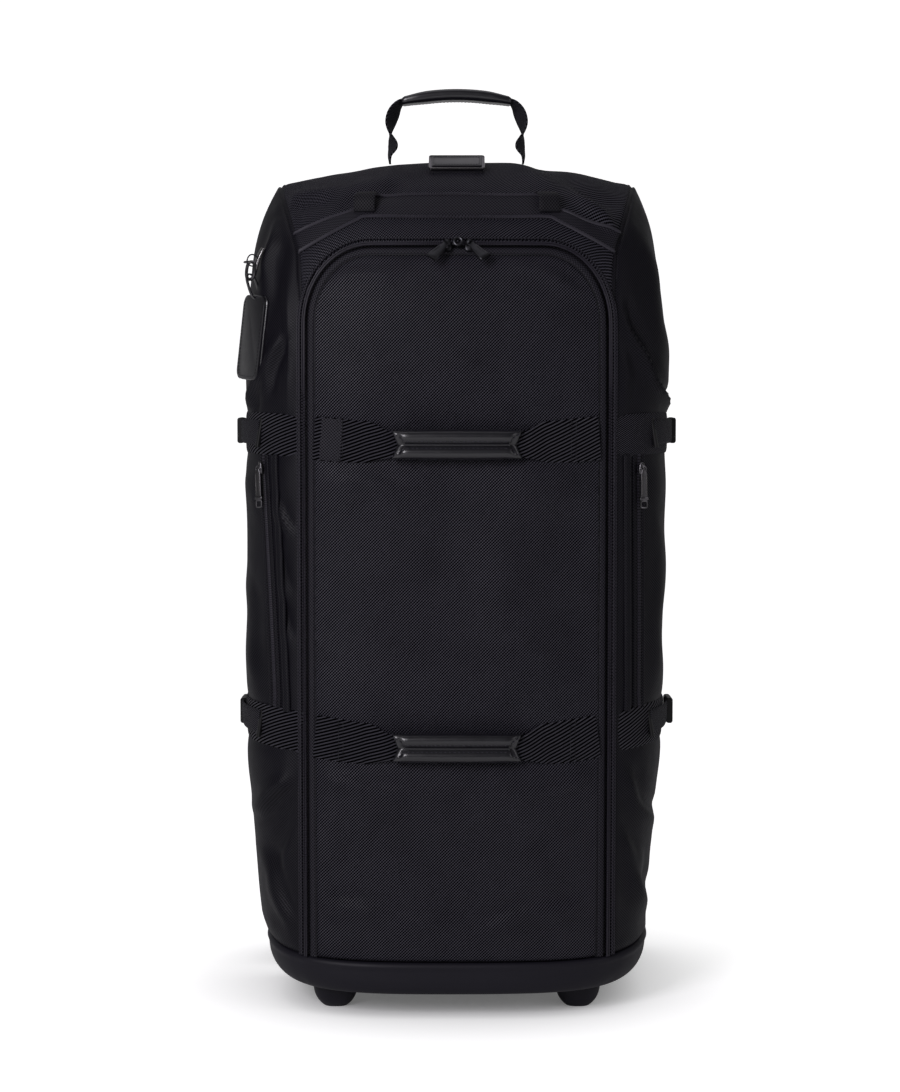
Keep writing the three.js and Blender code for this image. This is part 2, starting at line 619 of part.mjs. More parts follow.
// ---- side buckles: a socket on the strap and a plug that pulls out rearwards ----
const BUCKLE_Y = -18;
for (const level of ["upper", "lower"]) {
  const z = STRAP_Z[level] + STRAP_RISE[level];
  for (const { name, sign: side } of SIDES) {
    const x = abs(flank(side, BUCKLE_Y, z).x) + STRAP_HIGH + 0.9;
    const middle = side * (x + 3.4);
    const socket = bar("y", v3(middle, BUCKLE_Y, z), 26, 6.8, 26, 2.4, 0.8);
    const mouth = block(middle - 2.2, middle + 2.2, BUCKLE_Y + 1, BUCKLE_Y + 20, z - 8, z + 8);
    add(`${level}_${name}_buckle_socket`, cut(socket, mouth), PLASTIC);
    const tongue = bar("y", v3(middle, BUCKLE_Y + 8.5, z), 14.6, 3.4, 13, 1, 0.4);
    const shoulder = bar("y", v3(middle, BUCKLE_Y + 19.4, z), 25, 6.6, 11, 2.2, 0.8);
    const plug = toManifold(tongue).add(toManifold(shoulder));
    add(`${level}_${name}_buckle_plug`, fromManifold(plug), PLASTIC);
  }
}

// ---- feet, wheels and their housings ----
for (const { name, sign: side } of SIDES) {
  const x = side * FRONT_FOOT.x;
  const rings = [[0, 10.5, 11], [1.2, 13, 14], [5, 16.5, 17.5], [13, 20.5, 21], [23.7, 22.5, 24]];
  add(`${name}_front_foot`, loft(rings.map(([z, rx, ry]) => {
    return ringAt(v3(x, FRONT_FOOT.y, z), AXES.z[0], AXES.z[1], outline(2 * rx, 2 * ry, rx * 0.85, 4));
  })), PLASTIC);
}
for (const { name, sign: side } of SIDES) {
  const hub = v3(side * WHEEL.x, WHEEL.y, WHEEL_R);
  const housing = bar("z", v3(side * 152, 118, 59.5), 82, 102, 75, 20, 3, 4);
  const well = rod(v3(side * WHEEL.x, WHEEL.y, WHEEL_R), WHEEL_R + 4.5, 32, 36);
  const bores = rod(hub, 4.4, 54, 20);
  add(`${name}_wheel_housing`, cut(housing, well, bores), PLASTIC);
  add(`${name}_axle`, rod(hub, 4, 52, 36), STEEL);
  const tread = [[29, 12], [36.5, 13], [39.2, 11.5], [40, 7]];
  const tyre = [...tread.map(([r, t]) => [r, -t]), ...tread.reverse()];
  add(`${name}_tyre`, turned(hub, tyre, 36), RUBBER);
  const rim = [[4.1, -10], [12, -11], [24, -8], [28.7, -11.8], [28.7, 11.8], [24, 8], [12, 11], [4.1, 10]];
  add(`${name}_hub`, turned(hub, rim, 36), PLASTIC);
}
const kickCentre = v3(0, MID_Y + BACK + 3, 82);
add("kick_plate", bar("y", kickCentre, KICK.height, KICK.width, KICK.thickness, 10, 1.2, 4), PLASTIC);

// ---- telescoping handle ----
const SECTIONS = { outer: [23, 15], mid: [19.4, 11.4], inner: [15.8, 7.8] };
for (const { name, sign: side } of SIDES) {
  const axis = v3(side * TUBE_X, TUBE_Y, 0);
  add(`${name}_outer_tube`, tube(axis, SECTIONS.outer, 1.5, 64, 799.6), TUBE_METAL);
  add(`${name}_mid_tube`, tube(axis, SECTIONS.mid, 1.5, 72, 816), TUBE_METAL);
  add(`${name}_inner_tube`, tube(axis, SECTIONS.inner, 1.4, 80, 823.6), TUBE_METAL);
}
add("handle_foot", bar("z", v3(0, TUBE_Y, 46), 170, 26, 34, 4, 1, 3), PLASTIC);
const bezel = bar("z", v3(0, TUBE_Y - 3, 816.2), 184, 34, 32, 9, 1.5, 4);
const recess = block(-84, 84, TUBE_Y - 14, TUBE_Y + 11, 818, 850);
const passages = SIDES.map(({ sign: side }) => {
  return bar("z", v3(side * TUBE_X, TUBE_Y, 810), 20.4, 12.4, 60, 3.9, 0.1);
});
add("handle_bezel", cut(bezel, recess, ...passages), PLASTIC);
const pullGrip = bar("x", v3(0, TUBE_Y - 1.5, 833), 22, 18, 164, 6, 3, 4);
const buttonWell = block(-17, 17, TUBE_Y - 6.5, TUBE_Y + 3.5, 835, 850);
add("pull_grip", cut(pullGrip, buttonWell), PLASTIC);
add("release_button", bar("z", v3(0, TUBE_Y - 1.5, 841), 33, 9, 4, 3, 0.8), PLASTIC);

export default bag;
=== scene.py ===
"""Rolling duffel bag: fabric, straps, zips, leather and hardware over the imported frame."""

import json
import math

import bpy
import numpy as np
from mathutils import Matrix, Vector


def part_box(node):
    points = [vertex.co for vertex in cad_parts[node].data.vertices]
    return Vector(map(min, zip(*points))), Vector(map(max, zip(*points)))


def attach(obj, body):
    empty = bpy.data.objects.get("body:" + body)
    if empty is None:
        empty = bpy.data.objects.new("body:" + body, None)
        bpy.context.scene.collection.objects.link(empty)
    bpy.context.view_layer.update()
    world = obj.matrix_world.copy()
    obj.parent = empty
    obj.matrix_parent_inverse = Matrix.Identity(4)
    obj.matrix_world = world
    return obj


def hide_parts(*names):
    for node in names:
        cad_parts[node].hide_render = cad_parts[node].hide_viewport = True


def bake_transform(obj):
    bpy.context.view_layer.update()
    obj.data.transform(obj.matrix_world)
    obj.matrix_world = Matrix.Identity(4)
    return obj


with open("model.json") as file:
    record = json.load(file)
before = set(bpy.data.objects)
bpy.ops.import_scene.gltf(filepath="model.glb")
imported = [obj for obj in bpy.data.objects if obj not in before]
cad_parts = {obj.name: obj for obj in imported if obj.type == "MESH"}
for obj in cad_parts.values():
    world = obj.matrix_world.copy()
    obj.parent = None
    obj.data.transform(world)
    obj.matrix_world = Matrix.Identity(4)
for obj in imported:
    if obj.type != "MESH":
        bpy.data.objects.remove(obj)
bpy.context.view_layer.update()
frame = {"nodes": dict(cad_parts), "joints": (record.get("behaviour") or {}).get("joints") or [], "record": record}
MM = 0.001


# ---- sizes, from the frame ----
def low(node):
    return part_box(node)[0]


def high(node):
    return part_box(node)[1]


def middle(node):
    return (low(node) + high(node)) / 2


HEIGHT = high("top_panel").z
HALF_WIDTH = high("right_side_panel").x
FLOOR_GAP = low("bottom_boot").z
MID_Y = middle("top_handle_webbing").y
FRONT = MID_Y - low("bottom_boot").y
BACK = high("bottom_boot").y - MID_Y
SEAM_X = high("top_panel").x + 0.6 * MM
CROWN = HEIGHT - high("left_side_panel").z - 0.8 * MM
SHOULDER = 620 * MM
ZIP_X = high("front_door").x + 0.6 * MM
ARCH_Z = high("front_door").z + 0.6 * MM
ARCH_FOOT = low("top_panel").z - 0.6 * MM
CORNER_H = ARCH_Z - ARCH_FOOT
CORNER_W = 60 * MM
WIDEST = 633 * MM  # the sides close over SIDE_CLOSE above this height
SIDE_CLOSE = 267 * MM
TAPER_TOP = 380 * MM
TAPER = 0.122
SIDE_POWER = 2.9
FRONT_POWERS = (3.4, 2.5)  # of the level section and of the slope above the shoulder
BACK_POWERS = (9.0, 6)
SIDE_ROUND = (51 * MM, 22 * MM)  # where the rounding of the foot starts, and how far it goes in
FACE_ROUND = (40 * MM, 7 * MM)
ZIP_EDGE_IN = -4.8 * MM
ZIP_EDGE_OUT = 6.4 * MM
PANEL_SKIN = 2.6 * MM
ROLL = 2.4 * MM  # how far a panel's edge turns in, and over what width
STRAP_Z = {"lower": 271 * MM, "upper": 564 * MM}
STRAP_RISE = {"lower": 16 * MM, "upper": 9 * MM}
SIDES = (("left", -1), ("right", 1))


# ---- the outer form of the stuffed body ----
def smooth(start, end, v):
    t = np.clip((v - start) / (end - start), 0, 1)
    return t * t * (3 - 2 * t)


def rounding(z, top, drop):
    share = np.clip((top - z) / (top - FLOOR_GAP), 0, 1)
    return drop * (1 - np.sqrt(1 - share**2))


def half_width(z):
    share = np.clip((z - WIDEST) / SIDE_CLOSE, 0, 1)
    taper = 1 - TAPER * np.clip((TAPER_TOP - z) / TAPER_TOP, 0, 1) ** 2
    return HALF_WIDTH * (1 - share**SIDE_POWER) ** (1 / SIDE_POWER) * taper - rounding(z, *SIDE_ROUND)


def reach(z, length, power):
    share = np.clip((z - SHOULDER) / (HEIGHT - SHOULDER), 0, 1)
    return length * (1 - share**power) ** (1 / power) - rounding(z, *FACE_ROUND)


def form(p):
    """Below 1 inside the body and above 1 outside it."""
    x, y, z = np.abs(p[..., 0]), p[..., 1] - MID_Y, p[..., 2]
    level = z + CROWN * (x / SEAM_X) ** 2 * smooth(0.4, 0.7, z)
    front = y < 0
    power = np.where(front, FRONT_POWERS[0], BACK_POWERS[0])
    depth = np.where(front, reach(level, FRONT, FRONT_POWERS[1]), reach(level, BACK, BACK_POWERS[1]))
    depth = np.maximum(depth, 1e-5)
    value = (x / np.maximum(half_width(z), 1e-5)) ** power + (np.abs(y) / depth) ** power
    return np.where((level >= HEIGHT) | (z <= FLOOR_GAP), 9.0, value)


def cast(origin, direction):
    """Where rays from inside the body leave it."""
    origin, direction = np.broadcast_arrays(np.asarray(origin, float), np.asarray(direction, float))
    near = np.zeros(origin.shape[:-1])
    far = near + 0.6
    for _ in range(26):
        half = (near + far) / 2
        inside = form(origin + direction * half[..., None]) < 1
        near = np.where(inside, half, near)
        far = np.where(inside, far, half)
    return origin + direction * near[..., None]


def stack(*parts):
    return np.stack(np.broadcast_arrays(*[np.asarray(p, float) for p in parts]), -1)


def front_point(x, z):
    return cast(stack(x, MID_Y, z), (0, -1, 0))


def back_point(x, z):
    return cast(stack(x, MID_Y, z), (0, 1, 0))


def over_point(x, angle):
    return cast(stack(x, MID_Y, SHOULDER), stack(0 * angle, -np.cos(angle), np.sin(angle)))


def around_point(z, angle, centre_x=0.0):
    return cast(stack(centre_x, MID_Y, z), stack(np.cos(angle), np.sin(angle), 0 * angle))


def over_angle(x, z, on_back=False):
    """The angle of over_point() at height z on the front or the back slope."""
    x, z = np.broadcast_arrays(np.asarray(x, float), np.asarray(z, float))
    near = np.full(x.shape, math.pi / 2 if on_back else 0.0)
    far = np.full(x.shape, math.pi * 0.8 if on_back else math.pi / 2)
    for _ in range(24):
        half = (near + far) / 2
        above = over_point(x, half)[..., 2] > z
        keep = above if on_back else ~above
        near = np.where(keep, half, near)
        far = np.where(keep, far, half)
    return (near + far) / 2


def unit(v):
    return v / np.maximum(np.linalg.norm(v, axis=-1, keepdims=True), 1e-9)


def upward(out):
    """The direction square to out that points most nearly up."""
    return unit(np.array([0, 0, 1.0]) - out * out[2])


def outward(p):
    """The direction out of the body at points on it."""
    step = 0.4 * MM
    pulled = p + (np.array([0, MID_Y, 0.4]) - p) * 0.004
    slope = [form(pulled + step * e) - form(pulled - step * e) for e in np.eye(3)]
    return unit(stack(*slope))


# ---- seams ----
def boot_seam(y):
    return (56 + 9 * smooth(-0.17, -0.06, y) + 52 * smooth(0, 0.13, y)) * MM


def arch(x, offset=0.0):
    """Height of the door's arched zip line, moved outwards by offset."""
    past = np.clip((np.abs(x) - (ZIP_X - CORNER_W)) / (CORNER_W + offset), 0, 1)
    return ARCH_FOOT + (CORNER_H + offset) * np.sqrt(1 - past**2)


def zip_distance(x, z):
    """About how far a point of the front is outside the arched zip line."""
    across = np.abs(x) - (ZIP_X - CORNER_W)
    ratio = np.hypot(np.maximum(across, 0) / CORNER_W, np.maximum(z - ARCH_FOOT, 0) / CORNER_H)
    corner = (ratio - 1) * 0.066
    return np.where(z < ARCH_FOOT, np.abs(x) - ZIP_X, np.where(across > 0, corner, z - ARCH_Z))


def seam_x(z):
    """Seam between the side panels and the front half of the top."""
    slope = np.interp(z, [ARCH_FOOT, 0.75, 0.816], [ZIP_X + 6.5 * MM, ZIP_X + 11 * MM, SEAM_X])
    return np.where(z < ARCH_FOOT, ZIP_X + 6.5 * MM, slope)


def strap_z(level, x):
    return STRAP_Z[level] + STRAP_RISE[level] * 0.9 * smooth(0.07, 0.21, np.abs(x))


def pocket_x(x, z):
    """How far out each pocket zip runs at height z."""
    ends = [0.31, 0.538]
    return np.where(x < 0, np.interp(z, ends, [0.178, 0.190]), np.interp(z, ends, [0.180, 0.178]))


# ---- wrinkles ----
def lattice(cells, seed):
    """A repeatable number from -1 to 1 for every integer cell."""
    n = (cells[..., 0] * 73856093) ^ (cells[..., 1] * 19349663) ^ (cells[..., 2] * 83492791) ^ (seed * 40503)
    n = (n ^ (n >> 13)) * 1274126177 & 0x7FFFFFFF
    return (n % 20011) / 10005.0 - 1


def drift(p, size, seed):
    """Smooth noise in space, from -1 to 1."""
    q = p / size
    cell = np.floor(q).astype(np.int64)
    f = q - cell
    f = f * f * (3 - 2 * f)
    total = 0
    for corner in np.ndindex(2, 2, 2):
        weight = np.prod(np.where(np.array(corner) == 1, f, 1 - f), -1)
        total = total + weight * lattice(cell + np.array(corner), seed)
    return total


# Creases seen on the front: start and end in x and z, width, height, all in millimetres.
# A positive height is a ridge with its valley on the left of the way from start to end.
CREASES = (
    ((54, 838), (160, 776), 13, 3.6),
    ((96, 812), (150, 760), 9, -2.2),
    ((118, 806), (156, 770), 8, 1.8),
    ((-120, 812), (-172, 800), 9, 3.5),
    ((-60, 826), (-120, 800), 12, 3.0),
    ((-161, 716), (-162, 600), 5, 6.5),
    ((-173, 668), (-192, 612), 7, 4.5),
    ((-193, 634), (-207, 594), 6, 4.0),
    ((-166, 800), (-192, 700), 11, 3.5),
    ((-178, 776), (-186, 730), 6, 2.5),
    ((156, 696), (184, 640), 7, 5.0),
    ((182, 644), (211, 594), 6, 5.0),
    ((162, 596), (160, 656), 7, 4.0),
    ((186, 760), (206, 650), 12, 3.0),
    ((-204, 520), (-182, 470), 8, 4.5),
    ((-178, 506), (-158, 466), 6, 5.0),
    ((-180, 452), (-164, 410), 7, 4.0),
    ((-176, 404), (-158, 356), 6, 5.0),
    ((-208, 420), (-198, 330), 10, 3.0),
    ((160, 400), (158, 500), 7, 4.0),
    ((202, 470), (198, 340), 12, 3.0),
    ((-160, 238), (-198, 196), 9, 4.5),
    ((-156, 226), (-182, 140), 11, -4.0),
    ((162, 236), (196, 180), 10, 4.0),
    ((160, 180), (184, 110), 10, 3.0),
    ((-190, 150), (-162, 84), 9, 4.0),
    ((178, 160), (188, 96), 10, 3.5),
    ((62, 560), (52, 350), 46, 4.2),
    ((-132, 722), (-60, 730), 10, 2.2),
    ((60, 738), (126, 706), 10, 2.2),
    ((-120, 530), (-60, 520), 12, 1.6),
    ((-128, 236), (-60, 222), 10, 2.2),
    ((128, 236), (66, 218), 10, 2.2),
    ((-124, 112), (-40, 92), 12, 2.0),
    ((30, 92), (122, 112), 12, 2.0),
)


def creases(p):
    x, z = p[..., 0], p[..., 2]
    total = np.zeros(x.shape)
    for start, end, width, height in CREASES:
        a, b = np.array(start) * MM, np.array(end) * MM
        length = np.linalg.norm(b - a)
        way = (b - a) / length
        along = (x - a[0]) * way[0] + (z - a[1]) * way[1]
        wander = 0.22 * width * MM * np.sin(along / length * 7 + height)
        across = -(x - a[0]) * way[1] + (z - a[1]) * way[0] + wander
        w = 0.8 * width * MM
        ends = smooth(-0.25, 0.25, along / length) * smooth(1.25, 0.75, along / length)
        shape = np.exp(-((across / w) ** 2)) - 0.75 * np.exp(-(((across - 1.35 * w) / (0.8 * w)) ** 2))
        total += 1.25 * height * MM * ends * shape
    return total * smooth(0.04, -0.02, p[..., 1])


def lean(p):
    """The stuffed body sags a little to the left near the floor."""
    return -4.2 * MM * smooth(0.42, 0.16, p[..., 2]) * np.clip(p[..., 0] / HALF_WIDTH, -1, 1) ** 3


def relief(p):
    """How far slack cloth stands off the smooth form."""
    x, y, z = p[..., 0], p[..., 1], p[..., 2]
    apart = zip_distance(x, z)
    in_front = y < MID_Y
    door = in_front & (apart < 0)
    slack = np.where(door, 0.55, 1.0) * (drift(p, 0.13, 3) * 2.6 + drift(p, 0.055, 5) * 1.3)
    fine = drift(p * np.array([1, 1, 0.45]), 0.021, 8) * np.where(door, 0.12, 0.4)
    total = (slack + fine) * MM + creases(p)
    total = total + door * 2.0 * MM * np.cos(np.clip(x / ZIP_X, -1, 1) * math.pi / 2)
    for level in STRAP_Z:
        gap = z - strap_z(level, x)
        strapped = y < 0.1
        pull = np.exp(-((gap / 0.024) ** 4))
        swell = np.exp(-(((np.abs(gap) - 0.05) / 0.024) ** 2))
        total = np.where(strapped, total * (1 - 0.85 * pull) - 1.2 * MM * pull + 1.6 * MM * swell, total)
    near_zip = np.where(in_front & (z < 0.8), np.exp(-((apart / 0.016) ** 2)), 0)
    on_boot = np.exp(-(((z - boot_seam(y)) / 0.014) ** 2))
    total = total * (1 - near_zip) * (1 - 0.8 * on_boot)
    at_seam = np.exp(-(((np.abs(x) - seam_x(z)) / 0.012) ** 2)) * (z > ARCH_FOOT) * in_front
    beside = np.abs(x) - pocket_x(x, z)
    near_pocket = np.exp(-((beside / 0.017) ** 4)) * smooth(0.29, 0.32, z) * smooth(0.57, 0.54, z) * in_front
    total = total * (1 - near_pocket) - 1.0 * MM * near_pocket
    near_badge = np.exp(-((x / 0.04) ** 4) - (((y + 0.069) / 0.022) ** 2)) * (z > 0.8)
    return total * (1 - 0.7 * at_seam) * (1 - near_badge) + lean(p)


# ---- materials ----
class Finish:
    """A Principled material with small helpers for its node pattern."""

    def __init__(self, name, colour, roughness, metallic=0.0, specular=0.5, sheen=0.0, coat=0.0):
        self.material = bpy.data.materials.new(name)
        self.material.use_nodes = True
        self.nodes = self.material.node_tree.nodes
        self.links = self.material.node_tree.links
        self.shader = self.nodes["Principled BSDF"]
        self.colour = (*colour, 1)
        values = {
            "Base Color": self.colour,
            "Roughness": roughness,
            "Metallic": metallic,
            "Specular IOR Level": specular,
            "Sheen Weight": sheen,
            "Coat Weight": coat,
        }
        for socket, value in values.items():
            self.shader.inputs[socket].default_value = value
        self.material.diffuse_color = self.colour

    def put(self, source, target):
        if hasattr(source, "is_output"):
            self.links.new(source, target)
        else:
            target.default_value = source

    def math(self, operation, a, b=0.0):
        node = self.nodes.new("ShaderNodeMath")
        node.operation = operation
        self.put(a, node.inputs[0])
        self.put(b, node.inputs[1])
        return node.outputs[0]

    def limit(self, value):
        node = self.nodes.new("ShaderNodeClamp")
        self.put(value, node.inputs["Value"])
        return node.outputs[0]

    def uv(self):
        node = self.nodes.new("ShaderNodeUVMap")
        split = self.nodes.new("ShaderNodeSeparateXYZ")
        self.links.new(node.outputs[0], split.inputs[0])
        return split.outputs[0], split.outputs[1]

    def wave(self, source, pitch, shift=0.0):
        turned = self.math("MULTIPLY", source, 2 * math.pi / pitch)
        return self.math("SINE", self.math("ADD", turned, shift))

    def noise(self, size, detail=3.0, stretch=(1, 1, 1)):
        place = self.nodes.new("ShaderNodeTexCoord")
        mapping = self.nodes.new("ShaderNodeMapping")
        mapping.inputs["Scale"].default_value = stretch
        texture = self.nodes.new("ShaderNodeTexNoise")
        texture.inputs["Scale"].default_value = 1 / size
        texture.inputs["Detail"].default_value = detail
        self.links.new(place.outputs["Object"], mapping.inputs["Vector"])
        self.links.new(mapping.outputs["Vector"], texture.inputs["Vector"])
        return texture.outputs["Fac"]

    def cells(self, size):
        place = self.nodes.new("ShaderNodeTexCoord")
        texture = self.nodes.new("ShaderNodeTexVoronoi")
        texture.inputs["Scale"].default_value = 1 / size
        self.links.new(place.outputs["Object"], texture.inputs["Vector"])
        return texture.outputs["Distance"]

    def between(self, factor, start, end):
        node = self.nodes.new("ShaderNodeMapRange")
        self.put(factor, node.inputs["Value"])
        node.inputs["From Min"].default_value = 0.0
        node.inputs["To Min"].default_value = start
        node.inputs["To Max"].default_value = end
        return node.outputs["Result"]

    def tint(self, factor, dark, light):
        """Base colour from dark to light times the finish's own colour."""
        node = self.nodes.new("ShaderNodeMix")
        node.data_type = "RGBA"
        self.put(factor, node.inputs["Factor"])
        node.inputs["A"].default_value = (*[c * dark for c in self.colour[:3]], 1)
        node.inputs["B"].default_value = (*[c * light for c in self.colour[:3]], 1)
        self.links.new(node.outputs["Result"], self.shader.inputs["Base Color"])

    def rough(self, factor, start, end):
        self.links.new(self.between(factor, start, end), self.shader.inputs["Roughness"])

    def shine(self, factor, start, end):
        self.links.new(self.between(factor, start, end), self.shader.inputs["Specular IOR Level"])

    def bump(self, height, distance, strength=1.0):
        node = self.nodes.new("ShaderNodeBump")
        node.inputs["Distance"].default_value = distance
        node.inputs["Strength"].default_value = strength
        self.put(height, node.inputs["Height"])
        before = self.shader.inputs["Normal"].links
        if before:
            self.links.new(before[0].from_socket, node.inputs["Normal"])
        self.links.new(node.outputs["Normal"], self.shader.inputs["Normal"])


def weave(made, pitch, rising_share, falling_share, level):
    """Crossing diagonal threads, from 0 in the gaps to 1 on the knots."""
    u, v = made.uv()
    rising = made.wave(made.math("SUBTRACT", u, v), pitch)
    falling = made.wave(made.math("ADD", u, v), pitch)
    rising = made.math("MULTIPLY", rising, rising_share)
    falling = made.math("MULTIPLY", falling, falling_share)
    return made.limit(made.math("ADD", made.math("ADD", rising, falling), level))


def ballistic_cloth():
    made = Finish("ballistic_cloth", (0.0078, 0.0071, 0.0125), 0.6)
    level = weave(made, 3.0 * MM, 0.75, 0.45, 0.42)
    patches = made.between(made.noise(0.035, 4), 0.72, 1.3)
    # Painted light: the weave level in the base colour paints shade in the gaps between threads and highlights on
    # the knots; the patches are tone that differs at random.
    made.tint(made.math("MULTIPLY", level, patches), 0.02, 3.6)
    made.rough(level, 0.8, 0.56)
    made.shine(made.math("MULTIPLY", level, patches), 0.0, 0.95)
    made.bump(level, 0.5 * MM, 1.0)
    made.bump(made.noise(0.012, 2), 0.5 * MM, 0.35)
    return made.material


def side_cloth():
    made = Finish("side_cloth", (0.0052, 0.0047, 0.0085), 0.5)
    level = weave(made, 2.8 * MM, 0.5, 0.35, 0.45)
    patches = made.between(made.noise(0.05, 4), 0.6, 1.4)
    # Painted light: the weave level in the base colour paints shade in the gaps between threads and highlights on
    # the knots; the patches are tone that differs at random.
    made.tint(made.math("MULTIPLY", level, patches), 0.5, 1.7)
    made.rough(made.noise(0.02, 3), 0.42, 0.58)
    made.shine(level, 0.12, 0.36)
    made.bump(level, 0.15 * MM, 0.7)
    made.bump(made.noise(0.01, 3), 0.6 * MM, 0.35)
    return made.material


def ribbed_webbing(name, pitch, slope, strength=1.0):
    """Webbing with twill ribs; slope is the rise of a rib over its run."""
    made = Finish(name, (0.0082, 0.0075, 0.0125), 0.6)
    u, v = made.uv()
    ribs = made.wave(made.math("ADD", v, made.math("MULTIPLY", u, -slope)), pitch)
    fibres = made.math("MULTIPLY", made.wave(u, 0.9 * MM), 0.18)
    level = made.limit(made.math("ADD", made.math("MULTIPLY", ribs, 0.85), 0.42))
    # Painted light: the rib level in the base colour paints shade between the ribs and highlights on their crests.
    made.tint(level, 0.0, 3.0)
    made.shine(level, 0.0, 0.85)
    made.bump(made.math("ADD", level, fibres), 0.7 * MM * strength, 1.0)
    return made.material


def plain_webbing(name, colour):
    made = Finish(name, colour, 0.6)
    u, v = made.uv()
    fibres = made.math("MULTIPLY", made.wave(u, 3.2 * MM), made.wave(v, 3.0 * MM))
    level = made.math("ADD", made.math("MULTIPLY", fibres, 0.5), 0.5)
    # Painted light: the weave level in the base colour paints shade between the threads and highlights on the
    # knots.
    made.tint(level, 0.1, 2.3)
    made.shine(level, 0.0, 0.6)
    made.bump(fibres, 0.2 * MM, 0.8)
    return made.material


def leather():
    made = Finish("smooth_leather", (0.007, 0.0064, 0.0105), 0.3, specular=0.6, coat=0.9)
    made.shader.inputs["Coat Roughness"].default_value = 0.26
    grain = made.cells(0.9 * MM)
    made.rough(made.noise(0.008, 4), 0.25, 0.44)
    made.tint(made.noise(0.03, 4), 0.7, 1.3)
    made.bump(grain, 0.14 * MM, 0.35)
    made.bump(made.noise(0.004, 3), 0.18 * MM, 0.3)
    return made.material


def moulded(name, colour, roughness, grain=0.5 * MM, depth=0.06 * MM, specular=0.35):
    made = Finish(name, colour, roughness, specular=specular)
    made.rough(made.noise(0.02, 4), roughness - 0.06, roughness + 0.08)
    made.tint(made.noise(0.06, 3), 0.85, 1.15)
    made.bump(made.noise(grain, 2), depth, 0.6)
    return made.material


def metal(name, colour, roughness, brushed=(1, 1, 1)):
    made = Finish(name, colour, roughness, metallic=1.0)
    made.rough(made.noise(0.6 * MM, 3, brushed), roughness - 0.07, roughness + 0.1)
    made.tint(made.noise(0.01, 3), 0.8, 1.15)
    made.bump(made.noise(0.8 * MM, 2, brushed), 0.02 * MM, 0.4)
    return made.material


def thread(name, colour):
    made = Finish(name, colour, 0.5, specular=0.4)
    made.bump(made.noise(0.4 * MM, 2), 0.1 * MM, 0.6)
    made.tint(made.noise(0.01, 2), 0.8, 1.3)
    return made.material


def lining():
    made = Finish("lining", (0.05, 0.052, 0.06), 0.6, specular=0.3, sheen=0.05)
    u, v = made.uv()
    made.bump(made.math("MULTIPLY", made.wave(u, 0.8 * MM), made.wave(v, 0.8 * MM)), 0.08 * MM, 0.5)
    made.tint(made.noise(0.04, 3), 0.8, 1.2)
    return made.material


CLOTH = ballistic_cloth()
SIDE_CLOTH = side_cloth()
RIBS = ribbed_webbing("ribbed_webbing", 3.4 * MM, 0.42)
FINE_RIBS = ribbed_webbing("fine_webbing", 1.9 * MM, 0.5, 0.6)
WEBBING = plain_webbing("plain_webbing", (0.0060, 0.0055, 0.0085))
BAND = plain_webbing("band_webbing", (0.0115, 0.0105, 0.0160))
LEATHER = leather()
BOOT = moulded("boot_shell", (0.0125, 0.0115, 0.0180), 0.5, specular=0.3)
PLASTIC = moulded("black_plastic", (0.008, 0.008, 0.009), 0.4, specular=0.4)
COIL = moulded("zip_coil", (0.026, 0.023, 0.034), 0.4, specular=0.5)
GUNMETAL = metal("gunmetal", (0.19, 0.185, 0.195), 0.28)
BRIGHT = metal("bright_bevel", (0.34, 0.33, 0.33), 0.24)
DARK_METAL = metal("dark_metal", (0.065, 0.065, 0.072), 0.34)
TUBE = metal("tube_alloy", (0.36, 0.37, 0.39), 0.3, (1, 1, 0.02))
STEEL = metal("axle_steel", (0.5, 0.5, 0.5), 0.25)
RUBBER = moulded("wheel_rubber", (0.012, 0.012, 0.013), 0.75, 1.2 * MM, 0.12 * MM)
THREAD = thread("thread", (0.016, 0.016, 0.019))
CORD = thread("rope_thread", (0.036, 0.033, 0.045))
LINING = lining()


# ---- mesh building ----
def place(name, data):
    """An object in the scene that holds the data."""
    piece = bpy.data.objects.new(name, data)
    bpy.context.scene.collection.objects.link(piece)
    return piece


def make(name, points, faces, body, material, uv=None, slot=None, lining_from=None, sharp=40):
    """A mesh object, riding on a body if one is named. uv is a pair for each point; faces from
    lining_from on use LINING."""
    mesh = bpy.data.meshes.new(name)
    mesh.from_pydata(np.asarray(points, float).tolist(), [], [list(map(int, f)) for f in faces])
    mesh.materials.append(material)
    if lining_from is not None:
        mesh.materials.append(LINING)
        mesh.polygons.foreach_set("material_index", [int(i >= lining_from) for i in range(len(faces))])
    if uv is not None:
        layer = mesh.uv_layers.new(name="UVMap")
        corners = np.zeros(len(mesh.loops), int)
        mesh.loops.foreach_get("vertex_index", corners)
        layer.data.foreach_set("uv", np.asarray(uv, float)[corners].ravel())
    mesh.update()
    mesh.shade_smooth()
    mesh.set_sharp_from_angle(angle=math.radians(sharp))
    piece = place(name, mesh)
    if body:
        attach(piece, body)
    return piece


def quads(rows, columns, wrap=False, start=0):
    r, c = np.meshgrid(np.arange(rows - 1), np.arange(columns if wrap else columns - 1), indexing="ij")
    d = (c + 1) % columns
    return (np.stack([r * columns + c, r * columns + d, (r + 1) * columns + d, (r + 1) * columns + c], -1)
            .reshape(-1, 4) + start)


def grid_normals(grid):
    """Unit normals of a grid of points, facing away from the body's middle."""
    along = np.gradient(grid, axis=1)
    down = np.gradient(grid, axis=0)
    normal = unit(np.cross(along, down))
    away = grid - np.array([0, MID_Y, 0.4])
    return normal * np.where((normal * away).sum(-1).mean() < 0, -1, 1)


def border_distance(grid):
    """Distance of each grid point from the nearest edge of its panel, along the grid."""
    def lengths(axis):
        steps = np.linalg.norm(np.diff(grid, axis=axis), axis=-1)
        first = np.cumsum(steps, axis=axis)
        pad = [(0, 0), (0, 0)]
        pad[axis] = (1, 0)
        walked = np.pad(first, pad)
        return np.minimum(walked, np.take(walked, [-1], axis=axis) - walked)
    return np.minimum(lengths(0), lengths(1))


